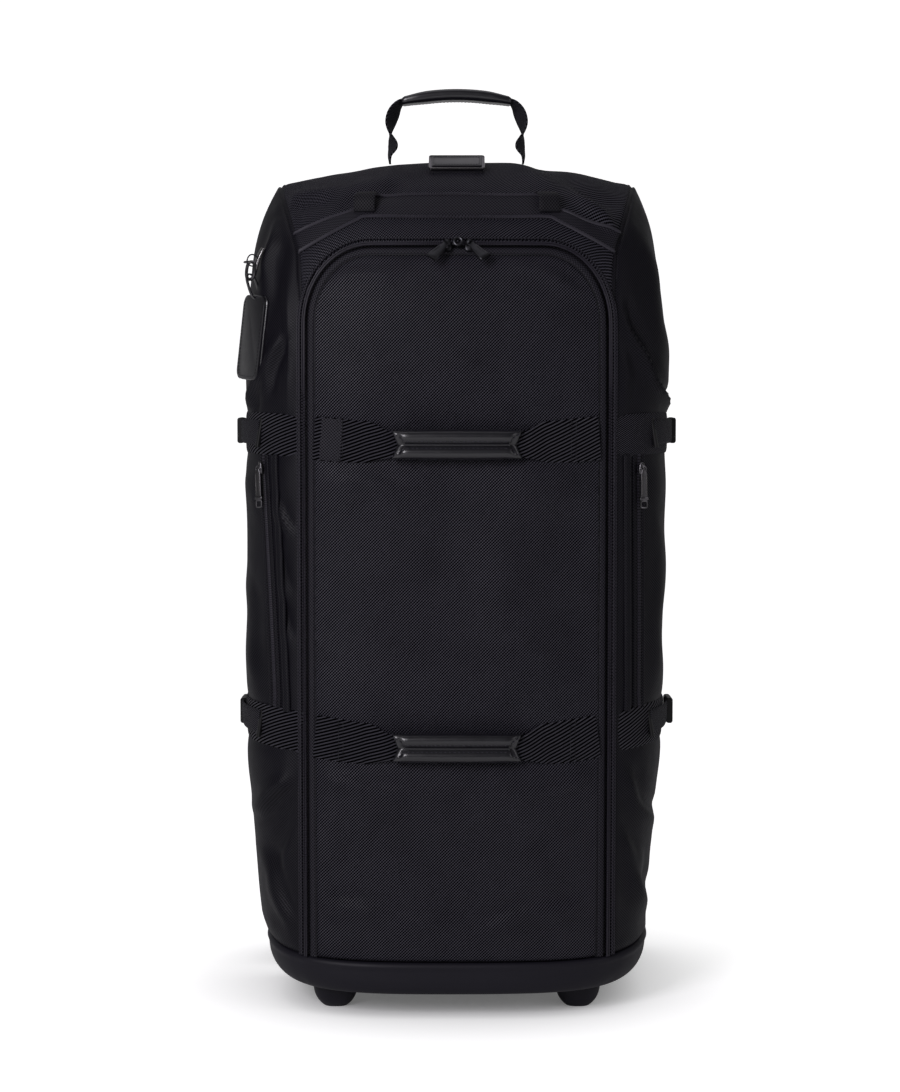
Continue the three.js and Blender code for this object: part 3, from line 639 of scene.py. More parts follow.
def arc_uv(grid):
    """Lengths along the middle row and column, so that a weave keeps its true size."""
    across = np.linalg.norm(np.diff(grid, axis=1), axis=-1).mean(0)
    down = np.linalg.norm(np.diff(grid, axis=0), axis=-1).mean(1)
    u = np.concatenate([[0], np.cumsum(across)])
    v = np.concatenate([[0], np.cumsum(down)])
    return stack(u[None, :] + 0 * v[:, None], v[:, None] + 0 * u[None, :])


def shell(outer, inner, turned):
    """Points and faces of a sheet with thickness, and the number of its first inside face."""
    rows, columns = outer.shape[:2]
    count = rows * columns
    out = quads(rows, columns)
    inside = quads(rows, columns, start=count)[:, ::-1]
    loop = np.concatenate([
        np.arange(columns),
        np.arange(1, rows) * columns + columns - 1,
        (rows - 1) * columns + np.arange(columns - 2, -1, -1),
        np.arange(rows - 2, 0, -1) * columns,
    ])
    after = np.roll(loop, -1)
    rim = np.stack([after, loop, loop + count, after + count], -1)
    faces = np.concatenate([out, rim, inside])
    points = np.concatenate([outer.reshape(-1, 3), inner.reshape(-1, 3)])
    return points, faces[:, ::-1] if turned else faces, len(out) + len(rim)


def panel(name, grid, body, material, replaced, slot, uv=None):
    """A padded panel over a grid of form points, rolled in at its edges and lined inside."""
    normal = grid_normals(grid)
    near = border_distance(grid)
    lift = relief(grid) * smooth(0, 0.02, near) - ROLL * np.exp(-((near / ROLL) ** 1.5))
    outer = grid + normal * lift[..., None]
    turned = (np.cross(grid[0, 1] - grid[0, 0], grid[1, 0] - grid[0, 0]) * normal[0, 0]).sum() < 0
    points, faces, lined = shell(outer, outer - normal * PANEL_SKIN, turned)
    flat_uv = np.tile((arc_uv(grid) if uv is None else uv).reshape(-1, 2), (2, 1))
    piece = make(name, points, faces, body, material, flat_uv, slot, lined, 60)
    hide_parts(replaced)
    return piece


def sweep(name, at, wide, thin, profile, body, material, slot=None, sharp=40, closed=False):
    """A body through stations: profile pairs are laid along wide and thin at each one, and its ends are
    closed with faces or joined into a loop."""
    wide, thin = (np.broadcast_to(np.asarray(a, float), at.shape) for a in (wide, thin))
    profile = np.broadcast_to(profile, (len(at), *profile.shape[-2:]))
    rings = at[:, None] + wide[:, None] * profile[..., :1] + thin[:, None] * profile[..., 1:]
    n, k = rings.shape[:2]
    walked = np.concatenate([[0], np.cumsum(np.linalg.norm(np.diff(at, axis=0), axis=-1))])
    uv = stack(np.broadcast_to(walked[:, None], (n, k)), profile[..., 0]).reshape(-1, 2)
    points = rings.reshape(-1, 3)
    faces = [list(f) for f in quads(n, k, wrap=True)]
    if closed:
        faces += [[(n - 1) * k + i, (n - 1) * k + (i + 1) % k, (i + 1) % k, i] for i in range(k)]
    else:
        faces += [list(range(k))[::-1], [(n - 1) * k + i for i in range(k)]]
    first = rings[0]
    facing = np.cross(first[1] - first[0], rings[1, 0] - first[0])
    if (facing * (first[0] - first.mean(0))).sum() < 0:
        faces = [f[::-1] for f in faces]
    return make(name, points, faces, body, material, uv, slot, sharp=sharp)


def rounded(width, height, radius, steps=4):
    """Outline of a rounded rectangle as pairs, counter-clockwise; arrays give an outline per station."""
    width, height, radius = (np.asarray(v, float)[..., None] for v in (width, height, radius))
    quarter = np.linspace(0, math.pi / 2, steps + 1)
    turn = (np.arange(4)[:, None] * math.pi / 2 + quarter).ravel()
    right, upper = (np.repeat(signs, steps + 1) for signs in ((1, -1, -1, 1), (1, 1, -1, -1)))
    return stack(right * (width / 2 - radius) + radius * np.cos(turn),
                 upper * (height / 2 - radius) + radius * np.sin(turn))


def tangents(path):
    return unit(np.gradient(path, axis=0))


def band_profile(width, thickness, crown=0.0, columns=12):
    """Section of webbing: a flat back, rounded edges and a slightly crowned face."""
    s = np.linspace(-1, 1, columns)
    face = thickness + crown * (1 - s**2) - 0.6 * thickness * np.abs(s) ** 10
    top = np.stack([s * width / 2, face], -1)
    back = np.stack([-s * width / 2 * 0.985, np.zeros(columns)], -1)
    return np.concatenate([top, back])


def band(name, path, normal, width, thickness, body, material, slot="webbing", crown=0.0, columns=12):
    """A strap along a path on the body; width may change along it."""
    width = np.broadcast_to(np.asarray(width, float), len(path))
    side = unit(np.cross(normal, tangents(path)))
    profile = np.stack([band_profile(w, thickness, crown, columns) for w in width])
    return sweep(name, path, side, normal, profile, body, material, slot, sharp=50)


def resample(path, step):
    lengths = np.concatenate([[0], np.cumsum(np.linalg.norm(np.diff(path, axis=0), axis=-1))])
    count = max(2, int(round(lengths[-1] / step)) + 1)
    at = np.linspace(0, lengths[-1], count)
    return np.stack([np.interp(at, lengths, path[:, i]) for i in range(path.shape[1])], -1)


def threads(name, centres, ways, normals, body, length, radius, material):
    """Short threads that dip in at both ends, one at each centre."""
    side = np.cross(normals, ways)
    turn = np.linspace(0, 2 * math.pi, 6)[:-1]
    rings = []
    for end, size, lift in ((-0.5, 0.35, -0.25), (-0.3, 1, 0.25), (0.3, 1, 0.25), (0.5, 0.35, -0.25)):
        inside = centres + ways * end * length + normals * lift * radius
        offset = side[:, None] * np.cos(turn)[:, None] + normals[:, None] * np.sin(turn)[:, None]
        rings.append(inside[:, None] + offset * radius * size)
    points = np.stack(rings, 1)
    tube = [tuple(f) for f in quads(4, 5, wrap=True)] + [(4, 3, 2, 1, 0), (15, 16, 17, 18, 19)]
    faces = [tuple(i + 20 * k for i in f) for k in range(len(centres)) for f in tube]
    return make(name, points.reshape(-1, 3), faces, body, material)


def stitches(name, path, normal, body, length=2.7 * MM, gap=1.1 * MM, radius=0.36 * MM, turn=0.0,
             material=THREAD):
    """A row of sewn stitches along a path, each turned a little across it for a roped seam."""
    joined = resample(np.concatenate([path, np.broadcast_to(normal, path.shape)], -1), length + gap)
    path, normal = joined[:, :3], unit(joined[:, 3:])
    along = unit(np.diff(path, axis=0))
    normal = normal[:-1]
    side = unit(np.cross(normal, along))
    ways = along * math.cos(turn) + side * math.sin(turn)
    return threads(name, (path[1:] + path[:-1]) / 2, ways, normal, body, length, radius, material)


def on_body(path, lift=0.0, cloth=True):
    """Points and normals of a path on the cloth, raised by lift."""
    normal = outward(path)
    rise = (relief(path) if cloth else 0) + lift
    return path + normal * np.asarray(rise)[..., None], normal


def arch_path(offset, step=2.5 * MM):
    """The zip line moved outwards by offset, from the left foot over the arch to the right foot."""
    wide = ZIP_X + offset
    foot = boot_seam(front_point(wide, 0.06)[1]) + 0.8 * MM
    t = np.linspace(0, math.pi / 2, 30)
    inner = ZIP_X - CORNER_W
    left = np.stack([
        np.concatenate([np.full(60, -wide), -inner - (wide - inner) * np.cos(t), [0]]),
        np.concatenate([np.linspace(foot, ARCH_FOOT, 60, endpoint=False),
                        ARCH_FOOT + (CORNER_H + offset) * np.sin(t), [ARCH_Z + offset]]),
    ], -1)
    flat = np.concatenate([left, left[-2::-1] * [-1, 1]])
    flat = resample(flat, step)
    return front_point(flat[:, 0], flat[:, 1])


# ---- fabric panels ----
def spaced(count, ends=0.5):
    """From -1 to 1, closer together near the ends."""
    u = np.linspace(-1, 1, count)
    return (1 - ends) * u + ends * np.sin(u * math.pi / 2)


def front_door():
    s = spaced(90)[None, :]
    t = spaced(190, 0.3)[:, None] / 2 + 0.5
    offset = ZIP_EDGE_IN
    x = s * (ZIP_X + offset)
    bottom = boot_seam(front_point(x, 0.06)[..., 1]) + 1.2 * MM
    z = bottom + (arch(x, offset) - bottom) * t
    panel("door_cloth", front_point(x + 0 * t, z), "door", CLOTH, "front_door", "ballistic_fabric",
          uv=stack(x + 0 * t, z))


def top_panel():
    rear = 2.22
    offset = ZIP_EDGE_OUT
    s = spaced(96)[None, :]
    levels = np.concatenate([np.linspace(ARCH_FOOT, 0.78, 26), np.linspace(0.783, 0.8185, 18)])
    fronts = over_angle(seam_x(levels), levels)
    crest = math.pi / 2
    angles = np.concatenate([fronts, np.linspace(fronts[-1], crest, 4)[1:], np.linspace(crest, rear, 40)[1:]])
    wide = np.concatenate([seam_x(levels), np.full(len(angles) - len(levels), SEAM_X)]) - 0.8 * MM
    arch_x = s[0] * (ZIP_X + offset) * 0.9999
    start = over_angle(arch_x, arch(arch_x, offset))
    share = np.clip((angles - angles[0]) / (crest - angles[0]), 0, 1)[:, None]
    grid_angle = np.where(angles[:, None] < crest, start + (crest - start) * share, angles[:, None])
    x = s * wide[:, None]
    grid = over_point(x, grid_angle)
    steps = np.linalg.norm(np.diff(grid[::-1], axis=0), axis=-1)
    down = np.concatenate([np.zeros((1, grid.shape[1])), np.cumsum(steps, axis=0)])[::-1]
    piece = panel("top_cloth", grid, "bag", CLOTH, "top_panel", "ballistic_fabric", uv=stack(x, -down))
    room = Vector((1 * MM, 1 * MM, 50 * MM))
    cut_box(piece, low("handle_bezel") - room, high("handle_bezel") + room)


BOX_FACES = ((0, 1, 3, 2), (4, 6, 7, 5), (0, 4, 5, 1), (2, 3, 7, 6), (0, 2, 6, 4), (1, 5, 7, 3))


def box_corners(lowest, highest):
    xs, ys, zs = zip(lowest, highest)
    return [(x, y, z) for x in xs for y in ys for z in zs]


def cut_box(piece, lowest, highest):
    """Cuts a box out of a piece."""
    mesh = bpy.data.meshes.new("cutter")
    mesh.from_pydata(box_corners(lowest, highest), [], BOX_FACES)
    cutter = place("cutter", mesh)
    modifier = piece.modifiers.new("cut", "BOOLEAN")
    modifier.operation = "DIFFERENCE"
    modifier.object = cutter
    bpy.context.view_layer.update()
    shaped = bpy.data.meshes.new_from_object(piece.evaluated_get(bpy.context.evaluated_depsgraph_get()))
    piece.modifiers.clear()
    piece.data = shaped
    bpy.data.objects.remove(cutter)


def back_seams():
    """Strips behind the seams between the back and the side panels, closing them from inside."""
    z = np.linspace(0.112, 0.806, 70)
    for name, side in SIDES:
        seam = back_point(side * (SEAM_X + 0.2 * MM) + 0 * z, z)
        path, normal = on_body(seam, -4.2 * MM, cloth=False)
        band(f"{name}_back_seam_strip", path, normal, 22 * MM, 1.0 * MM, "bag", WEBBING, "side_fabric",
             columns=6)


def housing_liners():
    """Walls inside the bag over each wheel housing: front, top and inner side."""
    wall, room = 3 * MM, 1.2 * MM
    for name, side in SIDES:
        lowest, highest = (np.array(c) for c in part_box(f"{name}_wheel_housing"))
        inner, outer = (lowest[0], highest[0]) if side > 0 else (highest[0], lowest[0])
        inner, outer = inner - side * room, outer - side * 0.2 * MM
        front, back, top = lowest[1] - room, min(highest[1], 0.155), highest[2] + room
        start = (min(inner - side * wall, outer), front - wall, FLOOR_GAP + 4 * MM)
        end = (max(inner - side * wall, outer), back, top + wall)
        piece = make(f"{name}_housing_liner", box_corners(start, end), BOX_FACES, "bag", BOOT,
                     slot="boot_plastic", sharp=30)
        past = outer + side * 9 * MM
        cut_box(piece, (min(inner, past), front, 0), (max(inner, past), 0.3, top))


def side_panels():
    crest = float(over_point(SEAM_X, np.array(math.pi / 2))[2])
    t = np.concatenate([np.linspace(0, 0.7, 115), 0.7 + 0.3 * np.sin(np.linspace(0, math.pi / 2, 66)[1:])])
    k = np.linspace(0, 1, 92)[None, :]
    for name, side in SIDES:
        z = np.repeat((0.09 + (crest - 0.6 * MM - 0.09) * t)[:, None], 92, 1)
        axis = 0.09 * side
        for _ in range(6):
            wide_front = seam_x(z) + 0.8 * MM
            wide_back = SEAM_X + 1.0 * MM
            y_front = front_point(wide_front, z)[..., 1]
            y_back = back_point(wide_back, z)[..., 1]
            a0 = np.arctan2(y_front - MID_Y, wide_front - abs(axis))
            a1 = np.arctan2(y_back - MID_Y, wide_back - abs(axis))
            angle = a0 + (a1 - a0) * k
            if side < 0:
                angle = math.pi - angle
            grid = cast(stack(axis, MID_Y, z), stack(np.cos(angle), np.sin(angle), 0 * angle))
            bottom = boot_seam(grid[..., 1]) + 1.0 * MM
            z = bottom + (crest - 0.6 * MM - bottom) * t[:, None]
        panel(f"{name}_side_cloth", grid, "bag", SIDE_CLOTH, f"{name}_side_panel", "side_fabric")


def back_panel():
    s = spaced(60)[None, :]
    t = spaced(120, 0.3)[:, None] / 2 + 0.5
    x = s * (SEAM_X - 1.0 * MM)
    top = over_point(x, np.full(x.shape, 2.23))[..., 2] - 1.0 * MM
    bottom = boot_seam(back_point(x, 0.12)[..., 1]) + 1.2 * MM
    grid = back_point(x + 0 * t, bottom + (top - bottom) * t)
    panel("back_cloth", grid, "bag", CLOTH, "back_panel", "side_fabric")


def boot_lift(grid):
    """Relief of the boot: a bead below its lip, slight dents, and a slanted groove near each front corner."""
    walked = np.cumsum(np.linalg.norm(np.diff(grid[::-1], axis=0), axis=-1), 0)
    from_lip = np.concatenate([np.zeros((1, grid.shape[1])), walked])[::-1]
    bead = np.exp(-(((from_lip - 4.2 * MM) / (2.2 * MM)) ** 2))
    lift = 1.0 * MM * bead - 1.6 * MM * np.exp(-((from_lip / (1.4 * MM)) ** 2))
    lift = lift + drift(grid, 0.07, 11) * 0.7 * MM
    grooved = (grid[..., 2] > 0.026) & (grid[..., 1] < 0.0)
    for _, side in SIDES:
        line = grid[..., 0] - side * (0.157 - 0.16 * (0.06 - grid[..., 2]))
        lift = lift - 1.3 * MM * np.exp(-((line / (1.6 * MM)) ** 2)) * grooved
    lift[:4] = 0
    return lift


def boot():
    """The moulded tray: rolled lip at the seam, rounded foot, flat underside."""
    angle = np.linspace(0, 2 * math.pi, 241)[:-1]
    angle = angle + 0.16 * np.sin(2 * angle)
    rings = []
    for t in np.concatenate([[0], np.linspace(0.04, 1, 26) ** 1.4]):
        z = np.full(angle.shape, 0.06)
        for _ in range(5):
            ring = around_point(z, angle)
            seam = boot_seam(ring[:, 1]) - 0.4 * MM
            z = FLOOR_GAP + 0.05 * MM + (seam - FLOOR_GAP) * t
        rings.append(ring)
    sole = rings[0]
    centre = np.array([0, MID_Y, sole[:, 2].mean()])
    inner_rings = [centre + (sole - centre) * s for s in (0.25, 0.5, 0.75, 0.92)]
    grid = np.stack(inner_rings + rings)
    normal = grid_normals(np.concatenate([grid[:, -2:], grid, grid[:, :2]], 1))[:, 2:-2]
    normal[:5] = (0, 0, -1)
    outer = grid + normal * boot_lift(grid)[..., None]
    inner = outer - normal * 3.4 * MM
    rows, columns = grid.shape[:2]
    count = rows * columns
    around = np.linspace(0, 1.2, columns)
    uv = stack(around[None, :] + np.zeros((rows, 1)), grid[..., 2]).reshape(-1, 2)
    rim = (rows - 1) * columns + np.arange(columns)
    after = np.roll(rim, -1)
    faces = list(quads(rows, columns, True)[:, ::-1])
    faces += [tuple(np.arange(columns))]
    faces += list(np.stack([rim, after, after + count, rim + count], -1)[:, ::-1])
    lined = len(faces)
    faces += list(quads(rows, columns, True, count)) + [tuple(np.arange(columns) + count)[::-1]]
    points = np.concatenate([outer.reshape(-1, 3), inner.reshape(-1, 3)])
    faces = [tuple(int(i) for i in f)[::-1] for f in faces]
    piece = make("boot", points, faces, "bag", BOOT, np.tile(uv, (2, 1)), "boot_plastic", lined, 60)
    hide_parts("bottom_boot")
    for name, _ in SIDES:
        lowest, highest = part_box(f"{name}_wheel_housing")
        grow = Vector((1, 1, 1)) * MM
        outside = Vector((30, 40, 0)) * MM
        start = lowest - grow - (outside if name == "left" else Vector()) - Vector((0, 0, 10)) * MM
        end = highest + grow + (outside if name == "right" else Vector((0, 40, 0)) * MM)
        cut_box(piece, start, end)


# ---- zips ----
def zip_chain(name, path, normal, body, pitch=2.9 * MM, width=3.2 * MM, height=1.3 * MM):
    """Coil teeth in a row: small rounded bars across the path."""
    joined = resample(np.concatenate([path, normal], -1), pitch)
    path, normal = joined[:, :3], unit(joined[:, 3:])
    along = tangents(path)
    side = unit(np.cross(normal, along))
    points, faces = [], []
    for p, n, a, s in zip(path, normal, along, side):
        start = len(points)
        for e, rise in ((-0.5, 0.55), (-0.3, 1.0), (0.3, 1.0), (0.5, 0.55)):
            for f, up in ((-0.38, 0.0), (-0.26, rise), (0.26, rise), (0.38, 0.0)):
                points.append(p + s * e * width + a * f * pitch + n * up * height)
        for r, c in np.ndindex(3, 3):
            corner = start + r * 4 + c
            faces.append((corner, corner + 1, corner + 5, corner + 4))
        faces.append((start, start + 1, start + 2, start + 3))
        faces.append((start + 15, start + 14, start + 13, start + 12))
    return make(name, points, faces, body, COIL, slot="black_plastic", sharp=30)


def main_zip():
    """The arched zip: tapes, the two rows of its coil, the edge band outside it and the stitching."""
    flange, normal = on_body(arch_path(1.0 * MM), -6.5 * MM, cloth=False)
    band("zip_flange", flange, normal, 26 * MM, 1.0 * MM, "bag", WEBBING, "side_fabric", columns=6)
    path, normal = on_body(arch_path(-2.3 * MM), -1.7 * MM, cloth=False)
    band("zip_tape_inner", path, normal, 7.0 * MM, 1.2 * MM, "door", BAND, crown=0.5 * MM, columns=8)
    path, normal = on_body(arch_path(9.2 * MM), -0.3 * MM, cloth=False)
    width = (4.8 - 3.0 * smooth(0.70, 0.745, path[:, 2])) * MM
    band("zip_edge_band", path, normal, width, 1.1 * MM, "bag", BAND, crown=0.7 * MM, columns=8)
    for name, body, offset in (("zip_coil_inner", "door", 3.45), ("zip_coil_outer", "bag", 5.25)):
        path, normal = on_body(arch_path(offset * MM), 0.4 * MM, cloth=False)
        zip_chain(name, path, normal, body, width=1.65 * MM)
    path, normal = on_body(arch_path(ZIP_EDGE_IN - 1.8 * MM), 0.1 * MM)
    stitches("zip_stitching", path, normal, "door", radius=0.32 * MM)
    for name, side in SIDES:
        for row, offset in (("near", 8.1), ("far", 10.5)):
            path, normal = on_body(arch_path(offset * MM), 1.3 * MM, cloth=False)
            keep = (path[:, 0] * side > 0) & (path[:, 2] < 0.70)
            stitches(f"{name}_zip_edge_{row}", path[keep], normal[keep], "bag", radius=0.3 * MM,
                     material=CORD)


SLIDER_PROFILE = ((-6.2, 2.6), (-5.2, 3.9), (-1.5, 4.3), (3.5, 3.2), (5.4, 2.4), (6.0, 1.4))


def node_frame(node, out):
    """Centre of a CAD piece and its upward and sideways directions on a surface facing out."""
    centre = np.array(middle(node))
    out = unit(np.asarray(out, float))
    up = upward(out)
    return centre, out, up, np.cross(up, out)


def slider(name, out, material, slot):
    """A zip slider: two shaped plates over the coil and a bridge for the pull."""
    centre, out, up, across = node_frame(name, out)
    stations, widths = np.array(SLIDER_PROFILE).T * MM
    base = centre - out * 1.7 * MM
    profile = rounded(2 * widths, 3.0 * MM, np.minimum(widths * 0.6, 1.0 * MM), 3)
    at = base + np.outer(stations, up) + out * 1.5 * MM
    piece = sweep(f"{name}_shell", at, across, out, profile, name, material, slot)
    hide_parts(name)
    t = np.linspace(0, math.pi, 12)
    bridge = base + np.outer(np.cos(t) * 3.6 * MM, up) + np.outer((1.6 + 2.7 * np.sin(t)) * MM, out)
    sweep(f"{name}_bridge", bridge, across, unit(np.cross(tangents(bridge), across)),
          rounded(2.2 * MM, 1.0 * MM, 0.35 * MM, 2), name, material, slot)


def joint_line(joint):
    """Pivot and axis of a hinge."""
    info = next(j for j in frame["joints"] if j["name"] == joint)
    return np.array(info["pos_m"]), unit(np.array(info["axis"]))


def pull_frame(name):
    """Where a pull hangs from, its length direction, outward and sideways directions."""
    pivot, side = joint_line(f"{name}_lift")
    along = unit(np.array(middle(name)) - pivot)
    along = unit(along - side * (along * side).sum())
    return pivot, along, np.cross(side, along), side


def main_pulls():
    """Matt pulls with a waisted neck, a framed face and a turned-down end."""
    for name, _ in SIDES:
        node = f"{name}_main_pull"
        pivot, along, out, side = pull_frame(node)
        stations = np.array([-1.0, 0.5, 3.0, 5.5, 8.0, 14.0, 21.0, 23.5, 25.2]) * MM
        widths = np.array([6.0, 7.0, 6.4, 6.0, 8.2, 9.4, 11.2, 11.6, 10.6]) * MM
        thick = np.array([1.6, 2.2, 2.4, 2.2, 2.4, 2.6, 3.2, 3.6, 2.6]) * MM
        piece = sweep(f"{node}_tab", pivot + np.outer(stations, along), side, out,
                      rounded(widths, thick, 0.4 * thick, 3), node, DARK_METAL, "black_plastic")
        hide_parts(node)
        for shift in (-1, 1):
            rail = np.linspace(9, 21, 8)[:, None] * MM * along
            apart = np.linspace(2.3, 3.1, 8)[:, None] * MM * shift * side
            sweep(f"{node}_rail_{shift + 1}", pivot + rail + apart + out * 1.0 * MM, side, out,
                  rounded(1.1 * MM, 1.3 * MM, 0.4 * MM, 2), node, DARK_METAL, "black_plastic")
        eye = pivot + along * 0.2 * MM - out * 0.4 * MM
        ring(f"{node}_eye", eye, side, out, 3.0 * MM, 1.0 * MM, node, DARK_METAL)


def ring(name, centre, u, v, radius, thickness, body, material, slot=None, square=2.0):
    """A wire ring in the plane of u and v; square above 2 makes it boxier."""
    t = np.linspace(0, 2 * math.pi, 29)[:-1]
    c, s = np.cos(t), np.sin(t)
    scale = radius / (np.abs(c) ** square + np.abs(s) ** square) ** (1 / square)
    away = unit(np.outer(c, u) + np.outer(s, v))
    at = centre + away * scale[:, None]
    circle = rounded(2 * thickness, 2 * thickness, thickness * 0.95, 2)
    return sweep(name, at, away, np.cross(u, v), circle, body, material, slot, closed=True)


def pocket_pulls():
    """Gunmetal pulls: wire link, framed bar, collar and a square end ring, turned a little to the front."""
    for name, sign in SIDES:
        node = f"{name}_pocket_pull"
        pivot, along, out, side = pull_frame(node)
        pivot = pivot - out * 1.2 * MM
        turn = 0.45 * np.sign(-side[1])
        out, side = out * math.cos(turn) + side * math.sin(turn), side * math.cos(turn) - out * math.sin(turn)
        parts = (
            ((1.5, 3.6), (4.0, 5.4), (6.0, 6.4), (26.0, 7.2), (28.0, 7.2)),
            ((28.4, 7.8), (29.0, 9.2), (30.6, 9.2), (31.2, 7.8)),
        )
        for index, stations in enumerate(parts):
            down, widths = np.array(stations).T * MM
            profile = rounded(widths, (2.2 + 0.6 * index) * MM, 0.7 * MM, 3)
            at = pivot + np.outer(down, along)
            piece = sweep(f"{node}_bar_{index}", at, side, out, profile, node, GUNMETAL, "gunmetal")
            if index == 0:
                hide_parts(node)
        for shift in (-1, 1):
            rail = np.linspace(7, 26, 6)[:, None] * MM * along + shift * 2.3 * MM * side
            sweep(f"{node}_rail_{shift + 1}", pivot + rail + out * 1.1 * MM, side, out,
                  rounded(0.9 * MM, 0.9 * MM, 0.3 * MM, 2), node, BRIGHT, "gunmetal")
        end = pivot + along * 35.2 * MM
        ring(f"{node}_end", end, side, along, 3.3 * MM, 0.9 * MM, node, GUNMETAL, "gunmetal", 5.0)
        ring(f"{node}_link", pivot + along * 0.8 * MM - out * 0.2 * MM, side, along, 2.7 * MM, 0.7 * MM, node,
             GUNMETAL, "gunmetal")


def sliders():
    for name, _ in SIDES:
        out = outward(np.array(middle(f"{name}_main_slider"))[None] * [1, 0.98, 1])[0]
        slider(f"{name}_main_slider", out, DARK_METAL, "black_plastic")
        centre = np.array(middle(f"{name}_pocket_slider"))
        pivot, _ = joint_line(f"{name}_pocket_pull_lift")
        out = unit((pivot - centre) * [1, 1, 0])
        slider(f"{name}_pocket_slider", out, GUNMETAL, "gunmetal")


def lock_ring():
    """The ring between the two main sliders that a padlock goes through."""
    centre = (np.array(middle("left_main_slider")) + np.array(middle("right_main_slider"))) / 2
    out = outward(front_point(centre[0], centre[2])[None])[0]
    up = upward(out)
    ring("lock_ring", centre + up * 3.0 * MM + out * 2.2 * MM, np.cross(up, out), up, 3.9 * MM, 1.35 * MM,
         "left_main_slider", DARK_METAL, "black_plastic")


def pocket_zips():
    """Each pocket zip lies between two piped edges, with a stitched flap band on the door side."""
    z = np.linspace(0.551, 0.300, 90)
    for name, side in SIDES:
        x = side * pocket_x(side + 0 * z, z)
        path, normal = on_body(front_point(x, z), -0.8 * MM)
        band(f"{name}_pocket_tape", path, normal, 17 * MM, 1.0 * MM, "bag", WEBBING, crown=0.3 * MM,
             columns=8)
        zip_chain(f"{name}_pocket_coil", path + normal * 1.1 * MM, normal, "bag", width=4.2 * MM)
        across = unit(np.cross(normal, tangents(path)))
        for shift in (-1, 1):
            edge = path + across * shift * 6.6 * MM
            sweep(f"{name}_pocket_piping_{shift + 1}", edge + normal * 0.6 * MM, across, normal,
                  rounded(3.4 * MM, 3.0 * MM, 1.4 * MM, 3), "bag", SIDE_CLOTH, "side_fabric")
        path, normal = on_body(front_point(x - side * 12.6 * MM, z), 0.7 * MM)
        band(f"{name}_pocket_flap", path, normal, 8.4 * MM, 1.6 * MM, "bag", SIDE_CLOTH, "side_fabric",
             crown=0.7 * MM)
        across = unit(np.cross(normal, tangents(path)))
        for shift in (-1, 1):
            line = path + across * shift * 2.4 * MM + normal * 1.9 * MM
            stitches(f"{name}_pocket_stitches_{shift + 1}", line, normal, "bag", radius=0.34 * MM)


# ---- straps and grips ----
def door_strap(level, name, side):
    """Half a door strap: it narrows towards the grip and lifts with it."""
    grip = middle(f"{level}_grip")
    s = np.linspace(0, 1, 70)
    x = side * (ZIP_X - 7 * MM - s * (ZIP_X - 57 * MM))
    near = smooth(0.09, 0.062, np.abs(x))
    z = strap_z(level, x) * (1 - near) + grip.z * near
    path, normal = on_body(front_point(x, z), 0.9 * MM + near * 4.6 * MM)
    width = (42 - 15 * near - 1.5 * smooth(0.115, 0.095, np.abs(x))) * MM
    piece = band(f"{level}_strap_{name}", path[::-side], normal[::-side], width[::-side], 1.8 * MM, None,
                 RIBS, crown=0.5 * MM, columns=22)
    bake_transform(piece)
    if name == "left":
        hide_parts(f"{level}_door_strap")


def door_straps():
    """The door straps with their tacks, and the patch over the upper strap's left end."""
    for level in STRAP_Z:
        for name, side in SIDES:
            door_strap(level, name, side)
            for shift in (0.110, 0.1145):
                across = np.linspace(-19.5, 19.5, 30) * MM
                line = front_point(side * shift + 0 * across, strap_z(level, shift) + across)
                at, out = on_body(line, 3.0 * MM)
                stitches(f"{level}_strap_tack_{name}_{int(shift * 1e4)}", at, out, "door")
    x = np.linspace(-0.131, -0.111, 16)
    path, normal = on_body(front_point(x, strap_z("upper", x)), 2.4 * MM)
    band("upper_strap_patch", path, normal, 40.5 * MM, 1.0 * MM, "door", BAND, columns=16)


# One lobe of a grip from the strap round to the groove: depth and height in millimetres.
GRIP_LOBE = (
    (0.4, 13.2), (4.5, 14.2), (9.0, 13.0), (11.6, 10.2), (12.4, 7.0), (11.2, 4.2), (9.2, 2.2), (8.4, 0.7),
)
GRIP_SEWING = {"length": 2.4 * MM, "gap": 2.0 * MM, "radius": 0.5 * MM, "material": CORD}


def grip_lobe(fat):
    """Section of the grip: two rolled lobes with a groove between, as depth and height."""
    upper = [(d * fat, h) for d, h in GRIP_LOBE]
    lower = [(d, -h) for d, h in reversed(upper)]
    return np.array([(0.4, 0)] + upper + lower) * MM


